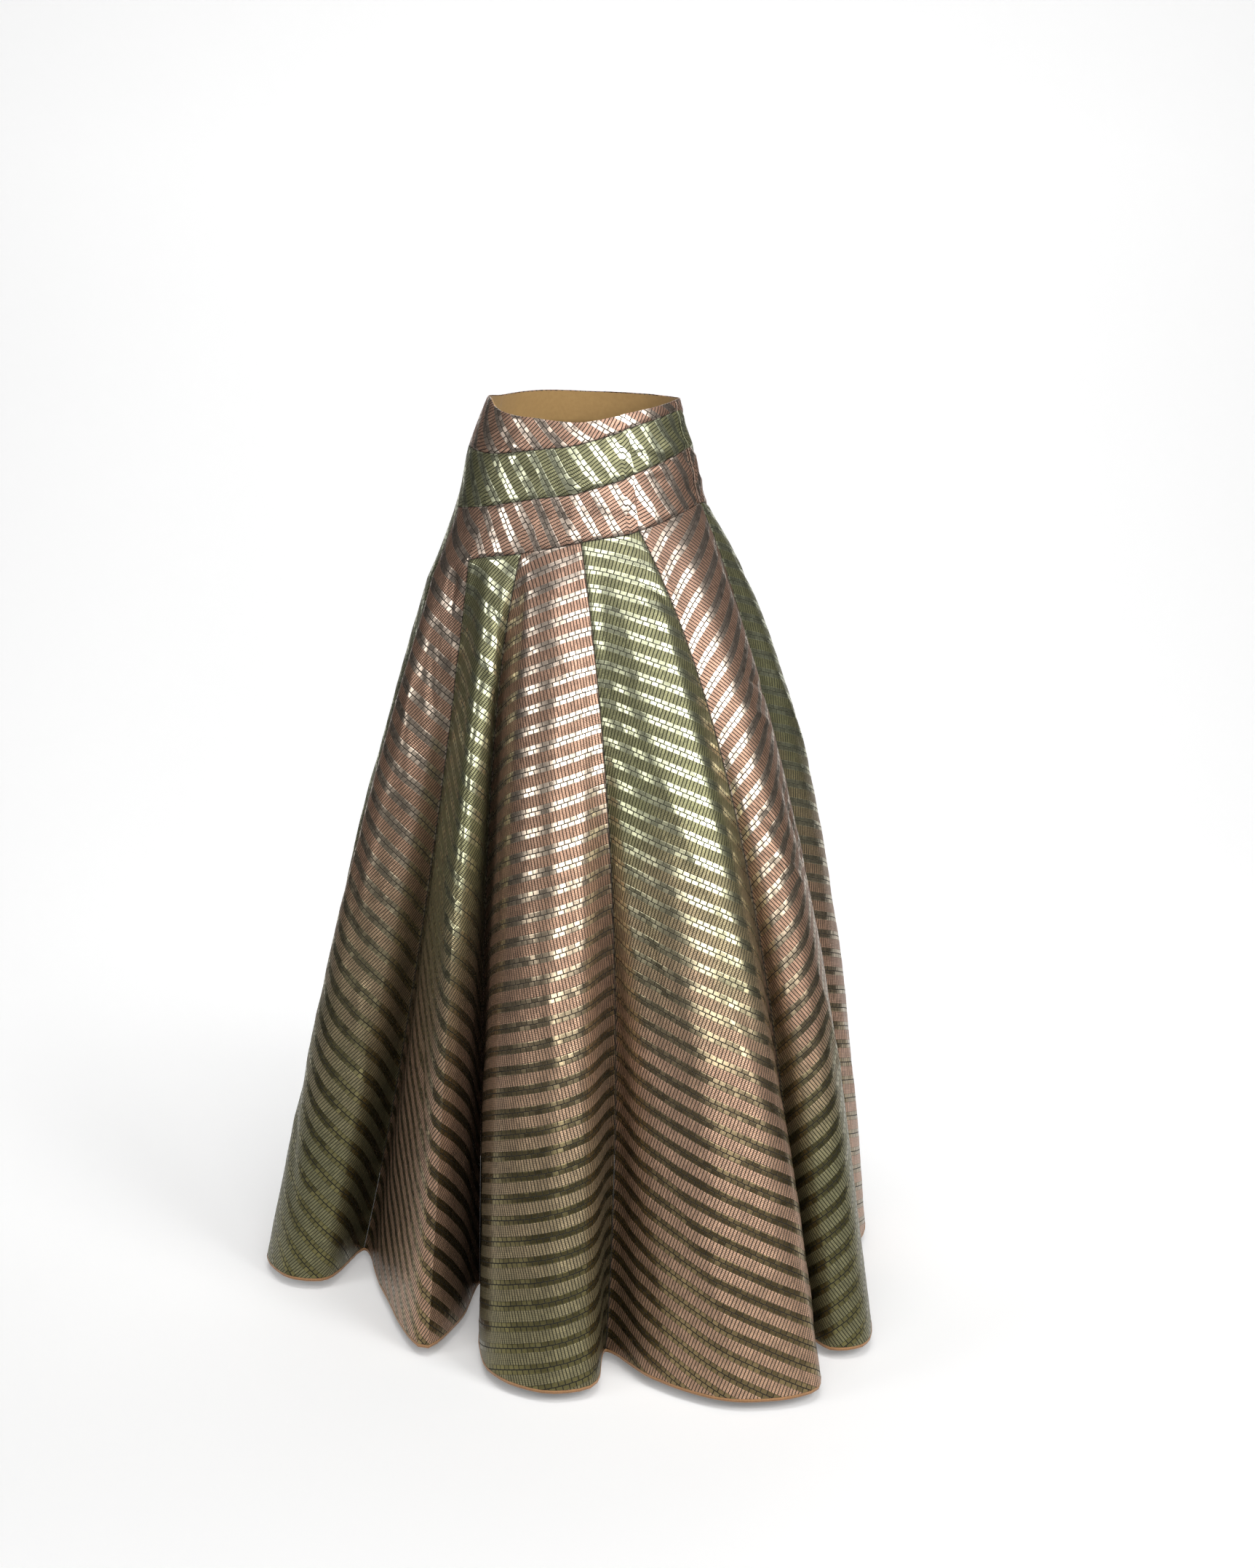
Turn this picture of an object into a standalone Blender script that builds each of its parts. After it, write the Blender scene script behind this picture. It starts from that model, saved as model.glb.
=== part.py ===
"""A long flared lehenga skirt, worn form, hollow, held at the waist.

Metres, +Z up, front at -Y.  The origin is the middle of the waist opening.
A yoke of three slanting bands wraps the hips.  Twelve flared gores hang from
it in deep rounded flutes, with their seams in the valleys.  Bands B and C run
on down the wearer's right hip as gores 0 and 1.  The outline is worked out
from the oval of the hips and from one fold line a row of FOLDS.
"""
import bpy
import numpy as np

# ---------------------------------------------------------------- main sizes
HEM_Z = -1.140          # lower edge of the hem binding
WALL = 0.0015           # cloth and its lining
GAP = 0.00032           # between pieces at a seam
STEPS = 8               # cloth columns to a gore
GORE_ROWS = 10          # rows from the yoke to the hem
BAND_ROWS = 2           # rows across each band of the yoke
BINDING_H = 0.0040      # hem binding, height and thickness
BINDING_T = 0.0024
FACING_DEPTH = 0.045    # waist facing
FACING_WALL = 0.0010
FACING_GAP = 0.0005
PLACKET_WALL = 0.0012   # lapped edge of the side closure
PLACKET = (-0.55, 0.75)  # its reach before and behind the side seam, in columns

# body of the yoke: half sizes of the oval at each depth below the waist
#        z      left   right  front  back
BODY = [( 0.006, 0.122, 0.120, 0.088, 0.090),
        (-0.030, 0.137, 0.128, 0.098, 0.102),
        (-0.060, 0.148, 0.139, 0.107, 0.113),
        (-0.115, 0.160, 0.151, 0.119, 0.130),
        (-0.150, 0.171, 0.161, 0.126, 0.138),
        (-0.180, 0.183, 0.172, 0.131, 0.143),
        (-0.230, 0.205, 0.196, 0.138, 0.150)]

# seams of the yoke, by place round the skirt (u = gore number), height in metres
#         u     waist   a/b     b/c    base
YOKE = [( 0.0,  0.004, -0.052, -0.125, -0.235),
        ( 1.0,  0.004, -0.058, -0.132, -0.222),
        ( 2.0, -0.012, -0.062, -0.127, -0.193),
        ( 3.0, -0.018, -0.056, -0.116, -0.181),
        ( 4.0, -0.022, -0.048, -0.106, -0.166),
        ( 5.0, -0.012, -0.030, -0.085, -0.153),
        ( 6.0,  0.001, -0.012, -0.058, -0.126),
        ( 7.0,  0.002, -0.028, -0.076, -0.150),
        ( 8.0,  0.004, -0.040, -0.096, -0.170),
        ( 9.0,  0.006, -0.048, -0.108, -0.185),
        (10.0,  0.008, -0.052, -0.116, -0.200),
        (11.0,  0.006, -0.054, -0.122, -0.220)]

# fold lines of the gores: hip = direction on the yoke in degrees (0 right, 90 back, 180 left, 270 front),
# x, y = place at the hem in mm, ease = how much of the flare is reached half way down, bow = sideways sway in mm
#         line   hip    x     y    ease   bow
FOLDS = [("s0",   152, -316,  112, 0.66,   0),
         ("l0",   160, -386,  112, 0.64,   0),
         ("c0",   170, -424,   84, 0.58,   0),
         ("r0",   180, -420,   40, 0.57,   0),
         ("s1",   194, -380,    6, 0.57,   0),
         ("l1",   199, -431,  -40, 0.57,   0),
         ("c1",   205, -396, -118, 0.55,   0),
         ("r1",   212, -346, -127, 0.44,   0),
         ("s2",   220, -304,  -30, 0.42,   0),
         ("l2",   226, -268, -150, 0.52,   0),
         ("c2",   232, -197, -330, 0.58,   0),
         ("r2",   239, -158, -252, 0.66,   0),
         ("s3",   245, -140, -138, 0.80,   0),
         ("l3",   250, -114, -392, 0.62,   0),
         ("c3",   257,  -45, -447, 0.62,   0),
         ("r3",   264,   12, -432, 0.62,   0),
         ("s4",   269,   27, -338, 0.70,  20),
         ("l4",   275,   84, -412, 0.62,   0),
         ("c4",   282,  180, -470, 0.62,   0),
         ("r4",   290,  280, -440, 0.64,   0),
         ("s5",   295,  275, -290, 0.72,   0),
         ("l5",   305,  305, -333, 0.66,   0),
         ("c5",   318,  347, -322, 0.66,   0),
         ("r5",   331,  362, -200, 0.68,   0),
         ("s6",   342,  334,  -60, 0.70,   0),
         ("l6",   352,  366,  -12, 0.74,   0),
         ("c6",     2,  384,   60, 0.74,   0),
         ("r6",    12,  376,  130, 0.72,   0),
         ("s7",    22,  326,  152, 0.68,   0),
         ("l7",   32,  352,  215, 0.64,   0),
         ("c7",   40,  318,  288, 0.64,   0),
         ("r7",   48,  262,  330, 0.64,   0),
         ("s8",   56,  206,  268, 0.66,   0),
         ("l8",   64,  196,  368, 0.62,   0),
         ("c8",   71,  130,  424, 0.62,   0),
         ("r8",   79,   62,  420, 0.62,   0),
         ("s9",   87,   30,  318, 0.68,   0),
         ("l9",   94,   -5,  404, 0.62,   0),
         ("c9",  101,  -70,  438, 0.62,   0),
         ("r9",  109, -140,  414, 0.62,   0),
         ("s10", 116, -154,  308, 0.68,   0),
         ("l10", 122, -196,  374, 0.62,   0),
         ("c10", 128, -260,  362, 0.62,   0),
         ("r10", 134, -302,  300, 0.64,   0),
         ("s11",  138, -262,  222, 0.66,   0),
         ("l11", 141, -326,  260, 0.64,   0),
         ("c11", 145, -376,  216, 0.64,   0),
         ("r11",  149, -380,  176, 0.66,   0)]



def smooth_table(rows, at, col, period=None):
    """Smooth curve through one column of a table."""
    x = np.array([r[0] for r in rows], float)
    y = np.array([r[col] for r in rows], float)
    at = np.asarray(at, float)
    if period:
        x = np.concatenate([x - period, x, x + period])
        y = np.tile(y, 3)
        at = at % period
    elif x[0] > x[-1]:
        x, y = x[::-1], y[::-1]
    m = np.gradient(y, x)
    at = np.clip(at, x[0], x[-1])
    i = np.clip(np.searchsorted(x, at, side="right") - 1, 0, len(x) - 2)
    h = x[i + 1] - x[i]
    t = (at - x[i]) / h
    return ((2 * t**3 - 3 * t**2 + 1) * y[i] + (t**3 - 2 * t**2 + t) * h * m[i]
            + (-2 * t**3 + 3 * t**2) * y[i + 1] + (t**3 - t**2) * h * m[i + 1])


def body(deg, z):
    """Point of the yoke's oval in one direction at one height."""
    a = np.radians(deg)
    c, s = np.cos(a), np.sin(a)
    left, right, front, back = (smooth_table(BODY, z, k) for k in (1, 2, 3, 4))
    return np.where(c < 0, left, right) * c, np.where(s < 0, front, back) * s


GORES = len(FOLDS) // 4
U_LINE = np.arange(len(FOLDS)) / 4.0
HIP = np.degrees(np.unwrap(np.radians([f[1] for f in FOLDS])))
HEM_X, HEM_Y = (np.array([f[k] for f in FOLDS]) / 1000.0 for k in (2, 3))
EASE = np.array([f[4] for f in FOLDS], float)
BOW = np.array([f[5] for f in FOLDS]) / 1000.0


def hip_deg(u):
    """Direction on the yoke of a place round the skirt (u counts gores)."""
    x = np.arange(-4, len(HIP) + 5) / 4.0
    y = np.concatenate([HIP[-4:] - 360, HIP, HIP[:5] + 360])
    return np.interp(np.asarray(u, float), x, y)


def closed_curve(p, sub):
    """Closed smooth curve through the points of p, sub steps a span."""
    n = len(p)
    k = np.arange(n)
    p0, p1, p2, p3 = p[k - 1], p, p[(k + 1) % n], p[(k + 2) % n]

    def step(a, b):
        return np.maximum(np.linalg.norm(b - a, axis=1), 1e-6)[:, None] ** 0.5

    t1 = step(p0, p1)
    t2 = t1 + step(p1, p2)
    t3 = t2 + step(p2, p3)
    out = []
    for j in range(sub):
        t = t1 + (t2 - t1) * j / sub
        a1 = (t1 - t) / t1 * p0 + t / t1 * p1
        a2 = (t2 - t) / (t2 - t1) * p1 + (t - t1) / (t2 - t1) * p2
        a3 = (t3 - t) / (t3 - t2) * p2 + (t - t2) / (t3 - t2) * p3
        b1 = (t2 - t) / t2 * a1 + t / t2 * a2
        b2 = (t3 - t) / (t3 - t1) * a2 + (t - t1) / (t3 - t1) * a3
        out.append((t2 - t) / (t2 - t1) * b1 + (t - t1) / (t2 - t1) * b2)
    return np.stack(out, 1).reshape(n * sub, -1)


def fold_points(v):
    """The fold lines' points at one depth v: 0 is the yoke's base, 1 the hem."""
    base = smooth_table(YOKE, U_LINE, 4, GORES)
    bx, by = body(HIP, base)
    k = (EASE - 0.5) / (0.5 * (1 - EASE))
    w = v * (1 + k) / (1 + k * v)
    x = bx + (HEM_X - bx) * w
    y = by + (HEM_Y - by) * w
    a = np.arctan2(y, x)
    sway = BOW * 4 * v * (1 - v)
    return np.stack([x - np.sin(a) * sway, y + np.cos(a) * sway,
                     base + (HEM_Z - base) * v], 1)


def ring(v, steps):
    """One ring of the gores: steps columns to a gore, one on each fold line."""
    sub = 24
    c = closed_curve(fold_points(v), sub)
    out = []
    for line in range(len(FOLDS)):
        seg = np.take(c, range(line * sub, line * sub + sub + 1), axis=0, mode="wrap")
        run = np.concatenate([[0], np.cumsum(np.linalg.norm(np.diff(seg, axis=0), axis=1))])
        at = np.linspace(0, run[-1], steps // 4 + 1)[:-1]
        out.append(np.stack([np.interp(at, run, seg[:, k]) for k in range(3)], 1))
    return np.concatenate(out)


def yoke_ring(u, level):
    """Points of the yoke: level 0 waist edge, 1 and 2 the band seams, 3 base."""
    lo = min(int(level), 2)
    f = level - lo
    z = (smooth_table(YOKE, u, lo + 1, GORES) * (1 - f)
         + smooth_table(YOKE, u, lo + 2, GORES) * f)
    x, y = body(hip_deg(u), z)
    return np.stack([x, y, z], 1)


# ---------------------------------------------------------------- the whole lattice
COLS = GORES * STEPS
YOKE_ROWS = 3 * BAND_ROWS
ROWS = YOKE_ROWS + GORE_ROWS


def depth(i):
    """Depth v of gore row i: rows are closer together near the yoke."""
    t = i / GORE_ROWS
    last = 1 - (BINDING_H + GAP) / 0.95
    return last * (0.72 * t + 0.28 * t * t)


def lattice():
    """Outer surface: rows from the waist edge to the hem, columns all round."""
    u = np.arange(COLS) / STEPS
    rows = [yoke_ring(u, i / BAND_ROWS) for i in range(YOKE_ROWS)]
    base = yoke_ring(u, 3.0)
    shift = base - ring(0.0, STEPS)
    for i in range(GORE_ROWS + 1):
        v = depth(i)
        p = ring(v, STEPS) + shift * (1 - v) ** 3
        if i == GORE_ROWS:
            p[:, 2] = HEM_Z + BINDING_H + GAP
        rows.append(p)
    return np.stack(rows)                       # row, column, xyz


def unit(a):
    return a / np.maximum(np.linalg.norm(a, axis=-1, keepdims=True), 1e-12)


P = lattice()
RIGHT = np.roll(P, -1, axis=1) - P              # towards the next column
LEFT = P - np.roll(P, 1, axis=1)
DOWN = np.gradient(P, axis=0)


def wall(side, i, j):
    """Outer and inner point of the wall, seen from one side of column j.

    side is -1 for a piece that ends at this column, 1 for one that begins
    here and 0 inside a piece; at a valley each side keeps its own normal.
    """
    j %= COLS
    r, l, d = unit(RIGHT[i, j]), unit(LEFT[i, j]), DOWN[i, j]
    across = unit(r + l)
    valley = float(np.dot(np.cross(l, r), d)) > 0.02 * float(np.linalg.norm(d))
    along = across
    if side and valley:
        along = r if side > 0 else l
    n = unit(np.cross(d, along))
    return P[i, j], n, (r if side > 0 else l), across


def make(name, cells, material):
    """A closed wall from the lattice cells (row, column) in the set cells."""
    def has(i, j):
        return (i, j) in cells

    index, outer, inner = {}, [], []
    for (i, j) in sorted(cells):
        for a, b in ((i, j), (i, j + 1), (i + 1, j + 1), (i + 1, j)):
            if (a, b) in index:
                continue
            ne, nw = has(a - 1, b), has(a - 1, b - 1)
            se, sw = has(a, b), has(a, b - 1)
            su = -(not ne) - (not se) + (not nw) + (not sw)
            sd = (not ne) + (not nw) - (not se) - (not sw)
            side = -1 if su < 0 else (1 if su > 0 else 0)
            p, n, along, across = wall(side, a, b)
            if a in (0, ROWS):                  # level cut edges
                n = unit(np.array([n[0], n[1], 0.0]))
            move = np.zeros(3)
            if side:
                narrow = max(abs(float(np.dot(along, across))), 0.12)
                move = move + side * along * (GAP / 2) / narrow
            if sd and a not in (0, ROWS):
                move = move + np.sign(sd) * unit(DOWN[a, b % COLS]) * (GAP / 2)
            index[(a, b)] = len(outer)
            outer.append(p + move)
            inner.append(p + move - n * WALL)
    n_out = len(outer)
    faces = []
    edges = {}
    for (i, j) in sorted(cells):
        q = [index[(i, j)], index[(i + 1, j)], index[(i + 1, j + 1)], index[(i, j + 1)]]
        for t in ((q[0], q[1], q[2]), (q[0], q[2], q[3])):      # one diagonal for both layers
            faces.append(list(t))
            faces.append([k + n_out for k in reversed(t)])
        for k in range(4):
            edges[(q[k], q[(k + 1) % 4])] = True
    for (a, b) in edges:
        if (b, a) not in edges:
            faces.append([b, a, a + n_out, b + n_out])
    return add(name, outer + inner, faces, material)


def add(name, verts, faces, material):
    me = bpy.data.meshes.new(name)
    me.from_pydata([tuple(map(float, v)) for v in verts], [], faces)
    me.materials.append(material)
    me.update()
    me.shade_smooth()
    me.set_sharp_from_angle(angle=0.9)
    ob = bpy.data.objects.new(name, me)
    bpy.context.scene.collection.objects.link(ob)
    return ob


def material(name, colour, rough, metal):
    m = bpy.data.materials.new(name)
    m.use_nodes = True
    b = m.node_tree.nodes["Principled BSDF"]
    b.inputs["Base Color"].default_value = (*colour, 1)
    b.inputs["Roughness"].default_value = rough
    b.inputs["Metallic"].default_value = metal
    return m


def block(rows, cols):
    return {(i, j) for i in range(*rows) for j in range(*cols)}


def waist_facing(mat):
    """Strip inside the waist edge, made from the yoke's points moved in."""
    cols, rows = COLS // 2, 3
    u = np.arange(cols) * GORES / cols
    top = smooth_table(YOKE, u, 1, GORES) - 0.001
    out = []
    for off in (WALL + FACING_GAP, WALL + FACING_GAP + FACING_WALL):
        for i in range(rows):
            z = top - FACING_DEPTH * i / (rows - 1)
            x, y = body(hip_deg(u), z)
            p = np.stack([x, y, z], 1)
            t = unit(np.roll(p, -1, axis=0) - np.roll(p, 1, axis=0))
            n = unit(np.stack([t[:, 1], -t[:, 0], 0 * t[:, 0]], 1))
            out.append(p - n * off / 0.93)
    verts = np.concatenate(out)
    faces = []

    def at(layer, i, j):
        return (layer * rows + i) * cols + j % cols

    for j in range(cols):
        for i in range(rows - 1):
            faces.append([at(0, i, j), at(0, i + 1, j), at(0, i + 1, j + 1), at(0, i, j + 1)])
            faces.append([at(1, i, j + 1), at(1, i + 1, j + 1), at(1, i + 1, j), at(1, i, j)])
        faces.append([at(0, 0, j + 1), at(1, 0, j + 1), at(1, 0, j), at(0, 0, j)])
        e = rows - 1
        faces.append([at(0, e, j), at(1, e, j), at(1, e, j + 1), at(0, e, j + 1)])
    return add("waist_facing", verts, faces, mat)


def hem_binding(mat):
    """Tan binding under the cut edge, made from the last row's points."""
    p = P[ROWS].copy()
    t = unit(np.roll(p, -1, axis=0) - np.roll(p, 1, axis=0))
    n = np.stack([t[:, 1], -t[:, 0], 0 * t[:, 0]], 1)
    mid = p - n * WALL / 2
    lo, hi = HEM_Z, HEM_Z + BINDING_H
    verts = []
    for off, z in ((1, hi), (1, lo), (-1, lo), (-1, hi)):
        q = mid + n * off * BINDING_T / 2
        q[:, 2] = z
        verts.append(q)
    verts = np.concatenate(verts)
    faces = []
    for j in range(COLS):
        k = (j + 1) % COLS
        for a in range(4):
            b = (a + 1) % 4
            faces.append([a * COLS + j, b * COLS + j, b * COLS + k, a * COLS + k])
    return add("hem_binding", verts, faces, mat)


def side_placket(mat):
    """Lapped edge of the side closure, on the side seam of the yoke."""
    u = GORES / 2 + np.array([PLACKET[0], 0.0, PLACKET[1]]) / STEPS
    layers = []
    for off in (0.0004, 0.0004 + PLACKET_WALL):
        for i in range(YOKE_ROWS + 1):
            p = yoke_ring(u, min(i / BAND_ROWS, 2.985))
            if i == 0:
                p[:, 2] -= 0.001
            a = np.radians(hip_deg(u))
            n = np.stack([np.cos(a), np.sin(a), 0 * a + 0.30], 1)
            layers.append(p + unit(n) * off)
    verts = np.concatenate(layers)
    rows, cols = YOKE_ROWS + 1, len(u)

    def at(layer, i, j):
        return (layer * rows + i) * cols + j

    faces = []
    for i in range(rows - 1):
        for j in range(cols - 1):
            faces.append([at(1, i, j), at(1, i + 1, j), at(1, i + 1, j + 1), at(1, i, j + 1)])
            faces.append([at(0, i, j + 1), at(0, i + 1, j + 1), at(0, i + 1, j), at(0, i, j)])
        faces.append([at(0, i, 0), at(0, i + 1, 0), at(1, i + 1, 0), at(1, i, 0)])
        e = cols - 1
        faces.append([at(1, i, e), at(1, i + 1, e), at(0, i + 1, e), at(0, i, e)])
    for j in range(cols - 1):
        faces.append([at(0, 0, j), at(1, 0, j), at(1, 0, j + 1), at(0, 0, j + 1)])
        e = rows - 1
        faces.append([at(1, e, j), at(0, e, j), at(0, e, j + 1), at(1, e, j + 1)])
    return add("side_placket", verts, faces, mat)


for ob in list(bpy.data.objects):
    bpy.data.objects.remove(ob)

ROSE = (0.43, 0.26, 0.19)
GREEN = (0.24, 0.27, 0.12)
rose_a = material("rose_band_a", ROSE, 0.35, 0.6)
green_b = material("green_band_b", GREEN, 0.35, 0.6)
rose_c = material("rose_band_c", ROSE, 0.35, 0.6)
gore_mats = [material("gore_%d" % g, GREEN if g % 2 == 0 else ROSE, 0.35, 0.6)
             for g in range(GORES)]
tan = material("tan_facing", (0.61, 0.38, 0.14), 0.8, 0.0)
caramel = material("caramel_binding", (0.40, 0.19, 0.07), 0.7, 0.0)
dark = material("placket_cloth", (0.20, 0.19, 0.10), 0.4, 0.5)

B, Y, H = BAND_ROWS, YOKE_ROWS, ROWS
S = STEPS
make("band_a_front", block((0, B), (0, 6 * S)), rose_a)
make("band_a_back", block((0, B), (6 * S, 12 * S)), rose_a)
make("panel_b_gore_0", block((B, 2 * B), (S, 6 * S)) | block((B, H), (0, S)), green_b)
make("band_b_back", block((B, 2 * B), (6 * S, 12 * S)), green_b)
make("panel_c_gore_1", block((2 * B, Y), (2 * S, 6 * S)) | block((2 * B, H), (S, 2 * S)), rose_c)
make("band_c_back", block((2 * B, Y), (6 * S, 12 * S)), rose_c)
for g in range(2, GORES):
    make("gore_%d" % g, block((Y, H), (g * S, (g + 1) * S)), gore_mats[g])
waist_facing(tan)
side_placket(dark)
hem_binding(caramel)
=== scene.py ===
"""Looks of a long flared lehenga skirt: shells in a metallic brick-and-bar
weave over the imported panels, with seams, puckers, creases, facing and binding.
Everything is in metres; the front faces -Y and the waist is at the origin."""
import math

import bpy
import numpy as np
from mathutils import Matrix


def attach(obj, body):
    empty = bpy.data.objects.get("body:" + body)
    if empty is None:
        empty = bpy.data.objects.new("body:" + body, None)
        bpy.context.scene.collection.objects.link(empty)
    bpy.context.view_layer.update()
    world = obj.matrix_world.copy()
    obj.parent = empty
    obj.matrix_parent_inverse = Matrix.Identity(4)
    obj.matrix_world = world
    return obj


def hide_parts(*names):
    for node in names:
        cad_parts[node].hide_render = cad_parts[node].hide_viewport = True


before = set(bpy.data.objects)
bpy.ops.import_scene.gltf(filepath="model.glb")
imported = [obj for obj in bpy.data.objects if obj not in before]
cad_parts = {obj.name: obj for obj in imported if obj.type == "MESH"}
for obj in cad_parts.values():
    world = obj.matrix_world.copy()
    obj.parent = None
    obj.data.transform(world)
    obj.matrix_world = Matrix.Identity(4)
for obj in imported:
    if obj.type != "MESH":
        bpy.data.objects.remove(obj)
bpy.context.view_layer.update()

# ---------------------------------------------------------------- main sizes
HEM_Z = -1.140
WALL = 0.0014
BINDING_H = 0.0040
FLOOR_Z = -1.152
NC = 40                 # columns of a shell across one gore
NR = 150                # rows of a shell from the yoke to the hem

# body of the yoke: half sizes of the oval at each depth below the waist
#        z      left   right  front  back
BODY = [( 0.006, 0.122, 0.120, 0.088, 0.090),
        (-0.030, 0.137, 0.128, 0.098, 0.102),
        (-0.060, 0.148, 0.139, 0.107, 0.113),
        (-0.115, 0.160, 0.151, 0.119, 0.130),
        (-0.150, 0.171, 0.161, 0.126, 0.138),
        (-0.180, 0.183, 0.172, 0.131, 0.143),
        (-0.230, 0.205, 0.196, 0.138, 0.150)]

# seams of the yoke, by place round the skirt (u = gore number), height in metres
#         u     waist   a/b     b/c    base
YOKE = [( 0.0,  0.004, -0.052, -0.125, -0.235),
        ( 1.0,  0.004, -0.058, -0.132, -0.222),
        ( 2.0, -0.012, -0.062, -0.127, -0.193),
        ( 3.0, -0.018, -0.056, -0.116, -0.181),
        ( 4.0, -0.022, -0.048, -0.106, -0.166),
        ( 5.0, -0.012, -0.030, -0.085, -0.153),
        ( 6.0,  0.001, -0.012, -0.058, -0.126),
        ( 7.0,  0.002, -0.028, -0.076, -0.150),
        ( 8.0,  0.004, -0.040, -0.096, -0.170),
        ( 9.0,  0.006, -0.048, -0.108, -0.185),
        (10.0,  0.008, -0.052, -0.116, -0.200),
        (11.0,  0.006, -0.054, -0.122, -0.220)]

# fold lines of the gores: hip = direction on the yoke in degrees (0 right, 90 back, 180 left, 270 front),
# x, y = place at the hem in mm, ease = how much of the flare is reached half way down, bow = sideways sway in mm
#         line   hip    x     y    ease   bow
FOLDS = [("s0",   152, -316,  112, 0.66,   0),
         ("l0",   160, -386,  112, 0.64,   0),
         ("c0",   170, -424,   84, 0.58,   0),
         ("r0",   180, -420,   40, 0.57,   0),
         ("s1",   194, -380,    6, 0.57,   0),
         ("l1",   199, -431,  -40, 0.57,   0),
         ("c1",   205, -396, -118, 0.55,   0),
         ("r1",   212, -346, -127, 0.44,   0),
         ("s2",   220, -304,  -30, 0.42,   0),
         ("l2",   226, -268, -150, 0.52,   0),
         ("c2",   232, -197, -330, 0.58,   0),
         ("r2",   239, -158, -252, 0.66,   0),
         ("s3",   245, -140, -138, 0.80,   0),
         ("l3",   250, -114, -392, 0.62,   0),
         ("c3",   257,  -45, -447, 0.62,   0),
         ("r3",   264,   12, -432, 0.62,   0),
         ("s4",   269,   27, -338, 0.70,  20),
         ("l4",   275,   84, -412, 0.62,   0),
         ("c4",   282,  180, -470, 0.62,   0),
         ("r4",   290,  280, -440, 0.64,   0),
         ("s5",   295,  275, -290, 0.72,   0),
         ("l5",   305,  305, -333, 0.66,   0),
         ("c5",   318,  347, -322, 0.66,   0),
         ("r5",   331,  362, -200, 0.68,   0),
         ("s6",   342,  334,  -60, 0.70,   0),
         ("l6",   352,  366,  -12, 0.74,   0),
         ("c6",     2,  384,   60, 0.74,   0),
         ("r6",    12,  376,  130, 0.72,   0),
         ("s7",    22,  326,  152, 0.68,   0),
         ("l7",   32,  352,  215, 0.64,   0),
         ("c7",   40,  318,  288, 0.64,   0),
         ("r7",   48,  262,  330, 0.64,   0),
         ("s8",   56,  206,  268, 0.66,   0),
         ("l8",   64,  196,  368, 0.62,   0),
         ("c8",   71,  130,  424, 0.62,   0),
         ("r8",   79,   62,  420, 0.62,   0),
         ("s9",   87,   30,  318, 0.68,   0),
         ("l9",   94,   -5,  404, 0.62,   0),
         ("c9",  101,  -70,  438, 0.62,   0),
         ("r9",  109, -140,  414, 0.62,   0),
         ("s10", 116, -154,  308, 0.68,   0),
         ("l10", 122, -196,  374, 0.62,   0),
         ("c10", 128, -260,  362, 0.62,   0),
         ("r10", 134, -302,  300, 0.64,   0),
         ("s11",  138, -262,  222, 0.66,   0),
         ("l11", 141, -326,  260, 0.64,   0),
         ("c11", 145, -376,  216, 0.64,   0),
         ("r11",  149, -380,  176, 0.66,   0)]


def smooth_table(rows, at, col, period=None):
    """Smooth curve through one column of a table."""
    x = np.array([r[0] for r in rows], float)
    y = np.array([r[col] for r in rows], float)
    at = np.asarray(at, float)
    if period:
        x = np.concatenate([x - period, x, x + period])
        y = np.tile(y, 3)
        at = at % period
    elif x[0] > x[-1]:
        x, y = x[::-1], y[::-1]
    m = np.gradient(y, x)
    at = np.clip(at, x[0], x[-1])
    i = np.clip(np.searchsorted(x, at, side="right") - 1, 0, len(x) - 2)
    h = x[i + 1] - x[i]
    t = (at - x[i]) / h
    return ((2 * t**3 - 3 * t**2 + 1) * y[i] + (t**3 - 2 * t**2 + t) * h * m[i]
            + (-2 * t**3 + 3 * t**2) * y[i + 1] + (t**3 - t**2) * h * m[i + 1])


def body(deg, z):
    """Point of the yoke's oval in one direction at one height."""
    a = np.radians(deg)
    c, s = np.cos(a), np.sin(a)
    left, right, front, back = (smooth_table(BODY, z, k) for k in (1, 2, 3, 4))
    return np.where(c < 0, left, right) * c, np.where(s < 0, front, back) * s


GORES = len(FOLDS) // 4
U_LINE = np.arange(len(FOLDS)) / 4.0
HIP = np.degrees(np.unwrap(np.radians([f[1] for f in FOLDS])))
HEM_X, HEM_Y = (np.array([f[k] for f in FOLDS]) / 1000.0 for k in (2, 3))
EASE = np.array([f[4] for f in FOLDS], float)
BOW = np.array([f[5] for f in FOLDS]) / 1000.0


def hip_deg(u):
    """Direction on the yoke of a place round the skirt (u counts gores)."""
    x = np.arange(-4, len(HIP) + 5) / 4.0
    y = np.concatenate([HIP[-4:] - 360, HIP, HIP[:5] + 360])
    return np.interp(np.asarray(u, float), x, y)


def closed_curve(p, sub):
    """Closed smooth curve through the points of p, sub steps a span."""
    n = len(p)
    k = np.arange(n)
    p0, p1, p2, p3 = p[k - 1], p, p[(k + 1) % n], p[(k + 2) % n]

    def step(a, b):
        return np.maximum(np.linalg.norm(b - a, axis=1), 1e-6)[:, None] ** 0.5

    t1 = step(p0, p1)
    t2 = t1 + step(p1, p2)
    t3 = t2 + step(p2, p3)
    out = []
    for j in range(sub):
        t = t1 + (t2 - t1) * j / sub
        a1 = (t1 - t) / t1 * p0 + t / t1 * p1
        a2 = (t2 - t) / (t2 - t1) * p1 + (t - t1) / (t2 - t1) * p2
        a3 = (t3 - t) / (t3 - t2) * p2 + (t - t2) / (t3 - t2) * p3
        b1 = (t2 - t) / t2 * a1 + t / t2 * a2
        b2 = (t3 - t) / (t3 - t1) * a2 + (t - t1) / (t3 - t1) * a3
        out.append((t2 - t) / (t2 - t1) * b1 + (t - t1) / (t2 - t1) * b2)
    return np.stack(out, 1).reshape(n * sub, -1)


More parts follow.
